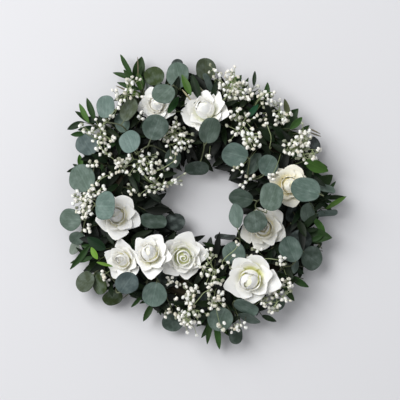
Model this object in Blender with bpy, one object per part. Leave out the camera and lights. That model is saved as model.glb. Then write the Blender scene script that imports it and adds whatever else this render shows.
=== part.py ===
"""Wreath lying on its back: eucalyptus, white roses, baby's breath and dark pointed leaves in a vine ring.

Millimetres inside, metres in the meshes. The origin is under the middle of the ring, +Z up, +Y the top
of the wreath as it would hang. Every sprig is one solid, its stem pushed into a socket of the ring.
Sprigs are laid one after another, and each is bent or lifted until it is clear of those before it.
"""

import math
import random
from typing import NamedTuple

import bmesh
import bpy
import numpy as np
from mathutils import Vector
from mathutils.bvhtree import BVHTree

MM = 0.001

# The vine ring
RING_RADIUS = 143.0
RING_SECTION = 19.0
RING_AXIS_HEIGHT = 14.0
VINE_RELIEF = 2.4
VINE_STRANDS = 5
VINE_TURNS = 2
RING_STEPS = 42

# Stems and the sockets that hold them
SOCKET_DEPTH = 9.0
SOCKET_GAP = 0.4
SOCKET_WALL = 1.6
STRAIGHT_RUN = 6.0
STEM_RADIUS = 1.5
ROSE_STEM_RADIUS = 2.2
STEM_SIDES = 3
STEM_TAPER = 0.7
LOWEST_SOCKET = -5.0
HIGHEST_SOCKET = 185.0

# How far a stem may stray from its straight way, in degrees and millimetres, while a clear one is looked for
STEM_TRIES = 400
STEM_PATIENCE = 60
FULL_PLAY_AFTER = 80
AZIMUTH_NEAR = 4.0
AZIMUTH_PLAY = 14.0
ELEVATION_PLAY = 32.0
SOCKET_LEAN = 0.3
KNEE_PLAY = 6.0
ROSE_KNEE_PLAY = 4.0
SHARP_BEND = 88.0
BOW_PLAY = 16.0
BOW = 0.2

# Room kept between nodes and under them
CLEARANCE = 0.5
FLOOR_CLEARANCE = 1.5
SKY = 1000.0
DOWN = Vector((0, 0, -1))

# Eucalyptus leaves
LEAF_THICKNESS = 0.8
ROUND_RIM_POINTS = 8
LEAF_CUP = 0.05
STALK_WIDTH = 2.6
STALK_LENGTH = 6.0
STALK_DROP = 3.0
ROOT_SINK = 0.35
LIFT_REACH = 27.0
LIFT_STEP = 3.0

# Pointed leaves
POINTED_ROWS = 3
POINTED_FOLD = 0.18
POINTED_DROOP = 0.12
POINTED_FULLNESS = 1.25
POINTED_SPREAD = 42.0
POINTED_SHARE = 0.8
POINTED_FOOT_RISE = 10.0
POINTED_KNEE_SHARE = 0.7
POINTED_TRIES = 60

# How far a pointed leaf strays from its even place at first, and how much further by the last try
POINTED_TURN_PLAY = 50.0
POINTED_CLIMB = (-0.2, 0.4)
POINTED_CLIMB_PLAY = (-0.5, 0.8)
POINTED_ROLL = 0.3
POINTED_SIZES = (0.85, 1.05)
POINTED_SHRINK = 0.3

# A broad leaf low on each pointed sprig, under everything else, where the most ground would show
LOW_ROWS = 2
LOW_LENGTH = 56.0
LOW_WIDTH = 32.0
LOW_SHARES = (0.05, 0.8)
LOW_TURN_PLAY = 110.0
LOW_CLIMB = (-0.15, 0.35)
LOW_TRIES = 240

# Roses, drawn for a bloom of this radius and scaled from it
BLOOM_RADIUS = 34.0
BLOOM_MIDDLE = 22.0
PETAL_THICKNESS = 0.9
BUD_PROFILE = ((6.0, 0.0), (12.0, 11.0), (6.0, 32.0))
BUD_SIDES = 6
WHORL_TURN = 0.17
PETAL_SPREADS = (1.0, 0.94, 0.88, 0.82, 0.76, 0.7)
CALYX_SIDES = 6
CALYX_DEPTH = 8.0
CALYX_RADII = (3.0, 6.0)
ROSE_KNEES = (1.75, 0.625)
SEAT_GAP = 0.3

# Baby's breath
PEDICEL_RADIUS = 0.65
FLORET_RADIUS = 4.0
FLORET_SIDES = 3
FLORETS = 8
FLORET_TRIES = 80
SPRAY_STEM_LENGTH = 16.0
SPRAY_STEM_REACH = 1.3
GOLDEN_TURN = 0.382
FLORET_KNEES = (0.15, 0.8)
FLORET_TURN_PLAY = 0.16
FLORET_REACH = (0.7, 1.0)
FLORET_RISE = (-0.2, 1.0)

CREASE_ANGLE = math.radians(50)
SEED = 11


class Shape(NamedTuple):
    """A closed mesh: points as rows of x, y, z and faces that point outwards."""

    points: np.ndarray
    faces: list


class Leaf(NamedTuple):
    """A round leaf: its middle, its size seen from above, the direction of its long side and of its foot."""

    x: float
    y: float
    z: float
    long: float
    short: float
    slant: float
    foot: float


class Rose(NamedTuple):
    """A bloom: its middle, its radius, and how far and which way it leans."""

    x: float
    y: float
    z: float
    radius: float
    lean: float
    toward: float


class Sprig(NamedTuple):
    """A stem of pointed leaves: where its tip is, how many leaves it has and how long they are."""

    x: float
    y: float
    z: float
    leaves: int
    length: float
    width: float


class Spray(NamedTuple):
    """A spray of baby's breath: the middle of its florets and how far they spread."""

    x: float
    y: float
    z: float
    spread: float
    rise: float


class Whorl(NamedTuple):
    """A round of petals: how many, their half-width in degrees, (distance, height) of each row, and tip."""

    petals: int
    half_width: float
    rows: tuple
    tip: float


PETAL_WHORLS = (
    Whorl(2, 80, ((8.0, 14.0), (12.5, 37.0)), 1.5),
    Whorl(3, 56, ((8.5, 9.0), (21.0, 33.0)), 2.5),
    Whorl(5, 34, ((6.0, 5.0), (25.0, 14.0), (34.0, 25.0)), 5.0),
)

# Share of a petal's half-width at its root, its middle and its lip
PETAL_WIDTHS = (0.3, 1.0, 0.8)
PETAL_EDGE_CURL = 0.8

ROSES = (
    Rose(-77, 154, 58, 27, 15, 150),
    Rose(2, 147, 68, 36, 30, 100),
    Rose(-137, -22, 66, 31, 12, 20),
    Rose(-130, -94, 60, 28, 22, 200),
    Rose(-86, -83, 76, 32, 12, 100),
    Rose(-33, -87, 60, 33, 10, -30),
    Rose(75, -122, 74, 37, 12, 240),
    Rose(96, -43, 58, 33, 15, -60),
    Rose(134, 28, 65, 31, 12, 100),
)

EUCALYPTUS = (
    (
        Leaf(-92, 190, 30, 32, 6, 90, -80), Leaf(-80, 202, 38, 34, 32, 0, -70),
        Leaf(-43, 217, 32, 27, 22, 90, -90), Leaf(-42, 203, 50, 42, 38, 100, -80),
        Leaf(-64, 171, 94, 38, 33, -15, 50),
    ),
    (
        Leaf(7, 192, 50, 32, 12, 115, -65), Leaf(3, 214, 38, 37, 34, 100, -90),
    ),
    (
        Leaf(-131, 127, 50, 32, 26, 100, -60), Leaf(-120, 147, 68, 40, 27, 65, -115),
        Leaf(-157, 152, 60, 37, 32, 80, -85),
    ),
    (
        Leaf(-118, 96, 70, 38, 34, 60, -60), Leaf(-77, 118, 92, 43, 42, 0, -110),
        Leaf(-50, 70, 48, 32, 26, 90, 150),
    ),
    (
        Leaf(-187, 92, 50, 38, 36, 0, -60), Leaf(-195, 38, 54, 46, 44, 60, -60),
    ),
    (
        Leaf(9, 113, 90, 43, 34, 60, -95), Leaf(-11, 54, 42, 40, 23, 0, 80),
    ),
    (
        Leaf(102, 58, 66, 36, 33, 120, -120), Leaf(79, 61, 54, 40, 20, 60, -110),
        Leaf(49, 75, 76, 43, 38, 10, -20),
    ),
    (
        Leaf(178, 93, 36, 26, 18, 110, -110), Leaf(196, 22, 40, 32, 14, -20, 165),
        Leaf(160, 20, 94, 48, 41, -10, -20),
    ),
    (
        Leaf(59, 6, 58, 40, 30, -10, -10), Leaf(81, -31, 88, 40, 34, 20, 100),
        Leaf(106, 8, 96, 46, 38, 100, -120),
    ),
    (
        Leaf(142, -16, 36, 34, 22, 70, -80), Leaf(166, -17, 46, 33, 25, 75, -60),
        Leaf(198, -18, 34, 35, 12, 5, 180),
    ),
    (
        Leaf(122, -122, 38, 26, 22, 0, 90), Leaf(138, -75, 66, 43, 38, 120, -70),
        Leaf(154, -61, 46, 38, 35, 0, -160), Leaf(173, -90, 36, 42, 35, 80, 150),
        Leaf(146, -102, 50, 26, 12, 80, 100),
    ),
    (
        Leaf(48, -82, 60, 39, 37, 0, -60), Leaf(34, -56, 34, 35, 9, 0, -10),
        Leaf(51, -22, 72, 40, 22, 95, -90),
    ),
    (
        Leaf(0, -160, 42, 36, 32, 0, 60), Leaf(26, -187, 60, 42, 40, 0, 70),
        Leaf(51, -214, 34, 30, 24, 100, 80), Leaf(72, -187, 38, 40, 14, -20, 160),
        Leaf(67, -168, 56, 42, 24, -25, 150), Leaf(118, -165, 38, 26, 20, 20, 160),
    ),
    (
        Leaf(-60, -123, 42, 34, 30, 0, 160), Leaf(-79, -147, 66, 42, 40, 0, 80),
        Leaf(-51, -194, 30, 36, 30, 0, 90),
    ),
    (
        Leaf(-122, -128, 84, 39, 36, 0, -120), Leaf(-147, -154, 32, 34, 26, 10, 60),
        Leaf(-168, -130, 44, 38, 26, 100, 60), Leaf(-191, -128, 36, 36, 30, 70, 30),
    ),
    (
        Leaf(-156, -6, 94, 48, 34, 80, 175), Leaf(-214, -28, 48, 38, 35, 100, 0),
        Leaf(-204, -58, 40, 26, 22, 0, 60), Leaf(-209, -74, 28, 24, 16, 60, 70),
    ),
    (
        Leaf(-81, -30, 52, 44, 26, -10, 170), Leaf(-47, -32, 34, 34, 30, 0, 160),
    ),
)

POINTED = (
    Sprig(-134, 235, 30, 6, 38, 11),
    Sprig(-200, 142, 32, 6, 36, 12),
    Sprig(-28, 196, 40, 5, 36, 15),
    Sprig(70, 198, 32, 6, 34, 10),
    Sprig(148, 134, 30, 6, 36, 12),
    Sprig(184, 58, 36, 5, 38, 17),
    Sprig(224, 8, 34, 6, 38, 10),
    Sprig(184, -66, 28, 6, 36, 11),
    Sprig(24, -232, 26, 6, 40, 12),
    Sprig(-92, -184, 26, 6, 34, 10),
    Sprig(-206, -96, 34, 6, 38, 12),
)

SPRAYS = (
    Spray(-124, 172, 62, 26, 18),
    Spray(-166, 108, 58, 26, 18),
    Spray(-102, 66, 62, 28, 18),
    Spray(-38, 108, 62, 24, 18),
    Spray(-66, 28, 52, 30, 18),
    Spray(-182, 14, 54, 26, 18),
    Spray(50, 192, 50, 28, 18),
    Spray(62, 124, 66, 30, 18),
    Spray(122, 148, 48, 28, 18),
    Spray(158, 86, 58, 30, 18),
    Spray(14, -106, 66, 30, 18),
    Spray(-24, -172, 58, 34, 18),
    Spray(116, -146, 52, 30, 18),
)


def unit(vector):
    """The vector at length one."""
    return vector / np.linalg.norm(vector)


def compass(degrees):
    """The level direction at this angle from +X."""
    turn = math.radians(degrees)
    return np.array([math.cos(turn), math.sin(turn), 0.0])


def across(axis):
    """Two directions at right angles to the axis and to each other."""
    helper = np.array([0.0, 0.0, 1.0]) if abs(axis[2]) < 0.9 else np.array([1.0, 0.0, 0.0])
    first = unit(np.cross(helper, axis))
    return first, np.cross(axis, first)


def tube(path, radius, sides=STEM_SIDES, tip=1.0):
    """A closed prism along a path, whose radius shrinks evenly to the share tip of it."""
    path = np.asarray(path)
    runs = np.diff(path, axis=0)
    heads = np.vstack([runs[:1], runs[:-1] + runs[1:], runs[-1:]])
    side, _ = across(unit(heads[0]))
    rings = []
    for number, (point, head) in enumerate(zip(path, heads)):
        axis = unit(head)
        side = unit(side - axis * (side @ axis))
        other = np.cross(axis, side)
        size = radius * (1 + (tip - 1) * number / (len(path) - 1))
        for corner in range(sides):
            turn = 2 * math.pi * corner / sides
            rings.append(point + size * (side * math.cos(turn) + other * math.sin(turn)))
    faces = []
    for ring in range(len(path) - 1):
        for corner in range(sides):
            here, after = ring * sides + corner, ring * sides + (corner + 1) % sides
            faces.append((here, after, after + sides, here + sides))
    last = (len(path) - 1) * sides
    faces.append(tuple(range(sides))[::-1])
    faces.append(tuple(range(last, last + sides)))
    return Shape(np.array(rings), faces)


def thickened(points, normals, triangles, rim, thickness):
    """A closed thin solid: the triangles on both sides of the points, joined by walls along the rim."""
    count = len(points)
    both = np.vstack([points + normals * thickness / 2, points - normals * thickness / 2])
    faces = [tuple(face) for face in triangles]
    faces += [tuple(count + corner for corner in face[::-1]) for face in triangles]
    for here, after in zip(rim, rim[1:] + rim[:1]):
        faces.append((after, here, count + here))
        faces.append((after, count + here, count + after))
    return Shape(both, faces)


def round_blade(middle, normal, heading, size, knee=None):
    """A round leaf, a shallow dish whose rim runs out into a flat stalk as far as the knee on its stem."""
    side = np.cross(normal, heading)
    half = ROUND_RIM_POINTS // 2
    turns = 2 * math.pi * np.arange(ROUND_RIM_POINTS) / ROUND_RIM_POINTS
    rim = middle + (np.outer(np.cos(turns), heading) + np.outer(np.sin(turns), side)) * size / 2
    normals = np.tile(normal, (ROUND_RIM_POINTS, 1))
    if knee is not None:
        foot = rim[half]
        along = unit(knee - foot)
        edge = side * STALK_WIDTH / 2
        end = knee + along * ROOT_SINK
        stalk = [foot + edge, end + edge / 2, end - edge / 2, foot - edge]
        rim = np.vstack([rim[:half], stalk, rim[half + 1:]])
        face_up = unit(np.cross(side, along))
        normals = np.vstack([normals[:half + 1], face_up, face_up, normals[:half]])
    count = len(rim)
    points = np.vstack([rim, middle - normal * LEAF_CUP * size])
    normals = np.vstack([normals, normal])
    triangles = [(k, (k + 1) % count, count) for k in range(count)]
    if knee is not None:
        triangles = [face for face in triangles if not {half + 1, half + 2} & set(face)]
        triangles += [(half, half + 1, half + 2), (half, half + 2, half + 3), (half, half + 3, count)]
    return thickened(points, normals, triangles, list(range(count)), LEAF_THICKNESS)


def pointed_blade(base, normal, heading, length, width, rows=POINTED_ROWS):
    """A pointed leaf, folded up along its midrib and drooping to its tip."""
    side = np.cross(normal, heading)
    share = (1 - np.cos(math.pi * np.arange(rows + 1) / rows)) / 2
    half = POINTED_FULLNESS * width * share**0.8 * (1 - share) ** 0.9
    spine = base + np.outer(share, heading) * length - np.outer(share**2, normal) * POINTED_DROOP * length
    rise = np.outer(half, normal) * POINTED_FOLD * 2
    left, right = spine + np.outer(half, side) + rise, spine - np.outer(half, side) + rise
    points = [spine[0]]
    for row in range(1, rows):
        points += [left[row], spine[row], right[row]]
    points.append(spine[-1])
    tip = len(points) - 1
    triangles = [(0, 2, 1), (0, 3, 2)]
    for row in range(rows - 2):
        a, b, c, d, e, f = range(1 + 3 * row, 7 + 3 * row)
        triangles += [(a, b, e), (a, e, d), (b, c, e), (c, f, e)]
    triangles += [(tip - 3, tip - 2, tip), (tip - 2, tip - 1, tip)]
    rim = [0, *range(3, tip, 3), tip, *range(tip - 3, 0, -3)]
    return thickened(np.array(points), normal, triangles, rim, LEAF_THICKNESS)


def patch(grid, thickness):
    """A closed thin solid on a grid of points, rows upwards and columns anticlockwise seen from outside."""
    rows, columns = grid.shape[:2]
    upward = np.gradient(grid, axis=0)
    sideways = np.gradient(grid, axis=1)
    normals = np.cross(sideways, upward).reshape(-1, 3)
    normals /= np.linalg.norm(normals, axis=1)[:, None]
    triangles = []
    for row in range(rows - 1):
        for column in range(columns - 1):
            here = row * columns + column
            opposite = here + 1 + columns
            triangles += [(here, here + 1, opposite), (here, opposite, here + columns)]
    rim = [*range(columns), *range(2 * columns - 1, rows * columns, columns)]
    rim += [*range(rows * columns - 2, (rows - 1) * columns - 1, -1)]
    rim += [*range((rows - 2) * columns, 0, -columns)]
    return thickened(grid.reshape(-1, 3), normals, triangles, rim, thickness)


def lathed(origin, axis, profile, sides):
    """A closed turned solid: each profile step is its distance from the axis and its height."""
    first, second = across(axis)
    points = []
    for distance, height in profile:
        for corner in range(sides):
            turn = 2 * math.pi * corner / sides
            arm = first * math.cos(turn) + second * math.sin(turn)
            points.append(origin + arm * distance + axis * height)
    faces = []
    for ring in range(len(profile) - 1):
        for corner in range(sides):
            here, after = ring * sides + corner, ring * sides + (corner + 1) % sides
            faces.append((here, after, after + sides, here + sides))
    last = (len(profile) - 1) * sides
    faces.append(tuple(range(sides))[::-1])
    faces.append(tuple(range(last, last + sides)))
    return Shape(np.array(points), faces)


def floret(knee, middle):
    """A small double flower on its stalk, in one piece: a thin prism that opens into a ball."""
    axis = unit(middle - knee)
    first, second = across(axis)
    profile = ((PEDICEL_RADIUS, knee), (PEDICEL_RADIUS, middle - axis * FLORET_RADIUS * 0.9),
               (FLORET_RADIUS, middle))
    points = []
    for distance, place in profile:
        for corner in range(FLORET_SIDES):
            turn = 2 * math.pi * corner / FLORET_SIDES
            points.append(place + distance * (first * math.cos(turn) + second * math.sin(turn)))
    points.append(middle + axis * FLORET_RADIUS * 0.9)
    faces = [tuple(range(FLORET_SIDES))[::-1]]
    for ring in range(2):
        for corner in range(FLORET_SIDES):
            here, after = ring * FLORET_SIDES + corner, ring * FLORET_SIDES + (corner + 1) % FLORET_SIDES
            faces.append((here, after, after + FLORET_SIDES, here + FLORET_SIDES))
    last = 2 * FLORET_SIDES
    faces += [(last + k, last + (k + 1) % FLORET_SIDES, last + FLORET_SIDES) for k in range(FLORET_SIDES)]
    return Shape(np.array(points), faces)


def swollen(shape, by):
    """The same solid with every point moved out along its normal."""
    normals = np.zeros_like(shape.points)
    for face in shape.faces:
        corner = shape.points[list(face)]
        normal = np.cross(corner[1] - corner[0], corner[2] - corner[0])
        normals[list(face)] += normal / (np.linalg.norm(normal) + 1e-9)
    normals /= np.linalg.norm(normals, axis=1)[:, None] + 1e-9
    return Shape(shape.points + normals * by, shape.faces)


class Space:
    """What has been laid so far, and the test that a new shape is clear of other nodes."""

    def __init__(self):
        self.laid = []
        self.sockets = []

    def add(self, node, shape, bulky=False):
        """Keeps a shape as part of a node."""
        tree = BVHTree.FromPolygons(shape.points.tolist(), shape.faces)
        self.laid.append((node, tree, shape.points.min(axis=0), shape.points.max(axis=0), bulky))

    def clear(self, node, shape, skip=()):
        """Whether the shape, swollen by the clearance, touches no other node and not the floor."""
        fat = swollen(shape, CLEARANCE)
        low, high = fat.points.min(axis=0), fat.points.max(axis=0)
        if low[2] < FLOOR_CLEARANCE:
            return False
        tree = None
        for other, other_tree, other_low, other_high, bulky in self.laid:
            if other == node or other in skip or (low > other_high).any() or (high < other_low).any():
                continue
            tree = tree or BVHTree.FromPolygons(fat.points.tolist(), fat.faces)
            if tree.overlap(other_tree):
                return False
            if bulky:
                spot, normal, _, _ = other_tree.find_nearest(Vector(fat.points[0]))
                if (Vector(fat.points[0]) - spot).dot(normal) < 0:
                    return False
        return True

    def hidden(self, points):
        """How many of the points have a laid shape straight above or below them."""
        count = 0
        for point in points:
            over = Vector((point[0], point[1], SKY))
            for _, tree, low, high, _ in self.laid:
                inside = (point[:2] > low[:2]).all() and (point[:2] < high[:2]).all()
                if inside and tree.ray_cast(over, DOWN)[0] is not None:
                    count += 1
                    break
        return count


def ring_shape():
    """The vine ring: strands twisted round one another as ridges of a torus, cut flat underneath."""
    columns = 2 * VINE_STRANDS
    points = []
    for step in range(RING_STEPS):
        turn = 2 * math.pi * step / RING_STEPS
        for column in range(columns):
            angle = 2 * math.pi * column / columns - VINE_TURNS * turn
            section = RING_SECTION + (VINE_RELIEF if column % 2 == 0 else -VINE_RELIEF)
            distance = RING_RADIUS + section * math.cos(angle)
            height = max(0.0, RING_AXIS_HEIGHT + section * math.sin(angle))
            points.append((distance * math.cos(turn), distance * math.sin(turn), height))
    faces = []
    for step in range(RING_STEPS):
        after = (step + 1) % RING_STEPS
        for column in range(columns):
            beside = (column + 1) % columns
            corners = (step * columns + column, after * columns + column, after * columns + beside,
                       step * columns + beside)
            faces += [corners[:3], (corners[0], corners[2], corners[3])]
    return Shape(np.array(points), faces)


def socket_on_ring(ring_tree, azimuth, elevation, lean):
    """Where a stem leaves the ring at this azimuth and angle round the section, and its direction."""
    radial = compass(azimuth)
    tangent = np.array([-radial[1], radial[0], 0.0])
    turn = math.radians(elevation)
    axis = radial * math.cos(turn) + np.array([0.0, 0.0, math.sin(turn)])
    centre = radial * RING_RADIUS + np.array([0.0, 0.0, RING_AXIS_HEIGHT])
    hit, _, _, _ = ring_tree.ray_cast(Vector(centre + axis * 60), Vector(-axis))
    return np.array(hit), unit(axis + lean * tangent)


def angles_from_ring(point):
    """The azimuth and the angle round the ring's section of a point near it."""
    azimuth = math.degrees(math.atan2(point[1], point[0]))
    outward = math.hypot(point[0], point[1]) - RING_RADIUS
    return azimuth, math.degrees(math.atan2(point[2] - RING_AXIS_HEIGHT, outward))


def root_of(surface, axis, radius, extra=0.0):
    """The straight end of a stem in its socket, and with extra the cutter of that socket."""
    start = surface - axis * (SOCKET_DEPTH + extra)
    return tube([start, surface + axis * (STRAIGHT_RUN + 3 * extra)], radius + 2 * extra)


def tree_of(shape):
    """The search tree of a shape's faces."""
    return BVHTree.FromPolygons(shape.points.tolist(), shape.faces)


def stream(node, use):
    """A random stream for one use in one node, so that a change in a node leaves the others as they are."""
    return random.Random(f"{SEED} {node} {use}")


def scatter(draw, play):
    """A random shift of up to the play along each of x, y and z."""
    return np.array([draw.uniform(-1, 1) * play for _ in range(3)])


def stem_tries(ring_tree, node, targets, reach, knee_play):
    """Ways for a stem past the targets, from the straight one outwards: its socket and its path."""
    draw = stream(node, "stem")
    azimuth, elevation = angles_from_ring(targets[0])
    elevation = min(max(elevation, LOWEST_SOCKET + 10), HIGHEST_SOCKET - 10)
    for attempt in range(STEM_TRIES):
        play = min(1.0, attempt / FULL_PLAY_AFTER) * reach
        turn = azimuth + draw.uniform(-1, 1) * AZIMUTH_NEAR + draw.uniform(-1, 1) * AZIMUTH_PLAY * play
        rise = elevation + draw.uniform(-1, 1) * ELEVATION_PLAY * play
        lean = draw.uniform(-SOCKET_LEAN, SOCKET_LEAN)
        surface, axis = socket_on_ring(ring_tree, turn, min(max(rise, LOWEST_SOCKET), HIGHEST_SOCKET), lean)
        knees = [point + scatter(draw, knee_play * play) for point in targets]
        leave = surface + axis * STRAIGHT_RUN
        bow = (leave + knees[0]) / 2 + axis * np.linalg.norm(knees[0] - leave) * BOW
        yield (surface, axis), np.array([leave, bow + scatter(draw, BOW_PLAY * play), *knees])


def route(space, node, ring_tree, targets, radius, judge=None, reach=1.0, knee_play=KNEE_PLAY):
    """Of the clear stems from the ring past the targets, the one with the fewest faults.

    Returns its socket, its shape and its path, or None.
    """
    best = None
    patience = STEM_PATIENCE
    for socket, path in stem_tries(ring_tree, node, targets, reach, knee_play):
        surface, axis = socket
        root = root_of(surface, axis, radius)
        guard = tree_of(swollen(root, SOCKET_WALL))
        if any(guard.overlap(other) for other in space.sockets):
            continue
        if not space.clear(node, root, skip=("vine_base",)):
            continue
        if not space.clear(node, tube([path[0] - axis, *path], radius)):
            continue
        stem = tube([surface - axis * SOCKET_DEPTH, *path], radius, tip=STEM_TAPER)
        faults = judge(stem, path) if judge else 0
        if best is None or faults < best[0]:
            best = faults, root, (socket, stem, path)
        patience -= 1
        if not faults or not patience:
            break
    if best is None:
        print(f"{node}: no clear stem")
        return None
    if best[0]:
        print(f"{node}: {best[0]} faults")
    space.sockets.append(tree_of(best[1]))
    return best[2]


def leaf_frame(leaf):
    """The normal of a leaf that looks long by short from above, tipped away from the middle of the band."""
    long_side = compass(leaf.slant)
    tilt = math.acos(leaf.short / leaf.long)
    sideways = np.array([-long_side[1], long_side[0], 0.0])
    outward = sideways @ np.array([leaf.x, leaf.y, 0.0]) * (math.hypot(leaf.x, leaf.y) - RING_RADIUS * 0.8)
    sign = 1.0 if outward > 0 else -1.0
    return sideways * sign * math.sin(tilt) + np.array([0.0, 0.0, math.cos(tilt)])


def lift_steps():
    """Lifts to try, from none outwards: up and down by turns."""
    steps = [0.0]
    for count in range(1, int(LIFT_REACH / LIFT_STEP) + 1):
        steps += [count * LIFT_STEP, -count * LIFT_STEP]
    return steps


def crossings(shape, others):
    """How many of the other shapes this one crosses."""
    tree = tree_of(shape)
    return sum(bool(tree.overlap(other)) for other in others)


def lay_leaves(space, node, leaves):
    """Places for the leaves of a stem, each lifted until clear: (middle, normal, heading, size)."""
    placed = []
    own = []
    for number, leaf in enumerate(leaves):
        normal = leaf_frame(leaf)
        for lift in lift_steps():
            middle = np.array([leaf.x, leaf.y, leaf.z + lift])
            level = compass(leaf.foot + 180)
            heading = unit(level - normal * (level @ normal))
            blade = round_blade(middle, normal, heading, leaf.long)
            if space.clear(node, blade) and not crossings(blade, own):
                placed.append((middle, normal, heading, leaf.long))
                own.append(tree_of(blade))
                break
        else:
            print(f"{node}: leaf {number} at {leaf.x}, {leaf.y} is not clear")
    return placed, own


def build_eucalyptus(space, ring_tree, node, leaves):
    """One stem of round leaves: its shapes and its socket."""
    placed, own = lay_leaves(space, node, leaves)
    targets = [
        middle - heading * (size / 2 + STALK_LENGTH) - normal * STALK_DROP
        for middle, normal, heading, size in placed
    ]

    def judge(stem, path):
        """Leaves whose stalk crosses another node, counted three times, and own blades that are crossed."""
        faults = crossings(stem, own)
        for number, (place, knee) in enumerate(zip(placed, path[2:])):
            blade = round_blade(*place, knee=knee)
            faults += 3 * (not space.clear(node, blade))
            faults += crossings(blade, own[:number] + own[number + 1:])
        return faults

    found = route(space, node, ring_tree, targets, STEM_RADIUS, judge)
    if found is None:
        return [], None
    socket, stem, path = found
    return [stem] + [round_blade(*place, knee=knee) for place, knee in zip(placed, path[2:])], socket


def sharp_bends(_, path):
    """How many corners of a path turn so far that a stem would fold into itself."""
    runs = [unit(run) for run in np.diff(path, axis=0)]
    limit = math.cos(math.radians(SHARP_BEND))
    return sum(before @ after < limit for before, after in zip(runs, runs[1:]))


def point_along(path, share):
    """The point at this share of a path's stretches, and the direction of its stretch."""
    place = share * (len(path) - 1)
    low = min(int(place), len(path) - 2)
    run = path[low + 1] - path[low]
    return path[low] + run * (place - low), unit(run)


def rolled(draw, heading):
    """The normal of a blade along the heading that faces up but for a small random roll."""
    roll = [draw.uniform(-POINTED_ROLL, POINTED_ROLL) for _ in range(2)]
    normal = unit(np.array([*roll, 1.0]))
    return unit(normal - heading * (normal @ heading))


def pointed_tries(draw, path, sprig, number):
    """Places for one leaf of a sprig, from the even one outwards: (base, normal, heading, size)."""
    knee, along = point_along(path, 1 - POINTED_SHARE * number / sprig.leaves)
    level = math.degrees(math.atan2(along[1], along[0]))
    spread = 0 if number == 0 else (POINTED_SPREAD if number % 2 else -POINTED_SPREAD)
    for attempt in range(POINTED_TRIES):
        play = attempt / POINTED_TRIES
        turn = draw.uniform(-POINTED_TURN_PLAY, POINTED_TURN_PLAY) * play
        climb = draw.uniform(*POINTED_CLIMB) + draw.uniform(*POINTED_CLIMB_PLAY) * play
        heading = unit(compass(level + spread + turn) + np.array([0.0, 0.0, climb]))
        normal = rolled(draw, heading)
        size = draw.uniform(*POINTED_SIZES) * (1 - POINTED_SHRINK * play)
        yield knee - heading * ROOT_SINK, normal, heading, size


def low_tries(draw, path):
    """Places for the broad leaf low on a sprig, the first ones largest: (base, normal, heading, size)."""
    for attempt in range(LOW_TRIES):
        play = attempt / LOW_TRIES
        knee, _ = point_along(path, draw.uniform(*LOW_SHARES))
        azimuth, _ = angles_from_ring(knee)
        turn = draw.uniform(-LOW_TURN_PLAY, LOW_TURN_PLAY)
        heading = unit(compass(azimuth + turn) + np.array([0.0, 0.0, draw.uniform(*LOW_CLIMB)]))
        yield knee - heading * ROOT_SINK, rolled(draw, heading), heading, 1 - POINTED_SHRINK * play


def build_pointed(space, ring_tree, node, sprig):
    """One stem of pointed leaves, set by turns left and right of it, with one at its tip.

    Returns its shapes, its socket and the path of its stem.
    """
    tip = np.array([sprig.x, sprig.y, sprig.z])
    azimuth, _ = angles_from_ring(tip)
    foot = compass(azimuth) * RING_RADIUS + np.array([0.0, 0.0, RING_AXIS_HEIGHT + POINTED_FOOT_RISE])
    end = tip - unit(tip - foot) * sprig.length * POINTED_SHARE
    knee = foot * (1 - POINTED_KNEE_SHARE) + end * POINTED_KNEE_SHARE
    found = route(space, node, ring_tree, [knee, end], STEM_RADIUS)
    if found is None:
        return [], None, None
    socket, stem, path = found
    shapes = [stem]
    own = []
    draw = stream(node, "leaves")
    for number in range(sprig.leaves):
        for base, normal, heading, size in pointed_tries(draw, path, sprig, number):
            blade = pointed_blade(base, normal, heading, sprig.length * size, sprig.width * size)
            if space.clear(node, blade) and not crossings(blade, own):
                shapes.append(blade)
                own.append(tree_of(blade))
                break
    if len(own) < sprig.leaves:
        print(f"{node}: {len(own)} of {sprig.leaves} leaves")
    return shapes, socket, path


def add_low_leaf(space, node, shapes, path):
    """Adds the broad low leaf to the shapes of a laid sprig: of the clear ones, that least under others."""
    own = [tree_of(shape) for shape in shapes[1:]]
    best = None
    for base, normal, heading, size in low_tries(stream(node, "low leaf"), path):
        blade = pointed_blade(base, normal, heading, LOW_LENGTH * size, LOW_WIDTH * size, LOW_ROWS)
        face = blade.points[:len(blade.points) // 2]
        hidden = space.hidden([*face, *((face[:-1] + face[-1]) / 2)])
        if best and hidden >= best[0]:
            continue
        if space.clear(node, blade) and not crossings(blade, own):
            best = hidden, blade
    if best is None:
        print(f"{node}: its low leaf is left out")
        return
    shapes.append(best[1])
    space.add(node, best[1])


def floret_tries(draw, path, spray, number):
    """Places for one floret of a spray: where its stalk leaves the stem, and its middle."""
    middle = np.array([spray.x, spray.y, spray.z])
    first, spread = FLORET_KNEES
    knee = path[-2] + (path[-1] - path[-2]) * (first + spread * number / FLORETS)
    for _ in range(FLORET_TRIES):
        turn = 2 * math.pi * (number * GOLDEN_TURN + draw.uniform(-FLORET_TURN_PLAY, FLORET_TURN_PLAY))
        reach = spray.spread * math.sqrt((number + 1) / FLORETS) * draw.uniform(*FLORET_REACH)
        rise = spray.rise * draw.uniform(*FLORET_RISE)
        yield knee, middle + np.array([math.cos(turn) * reach, math.sin(turn) * reach, rise])


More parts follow.
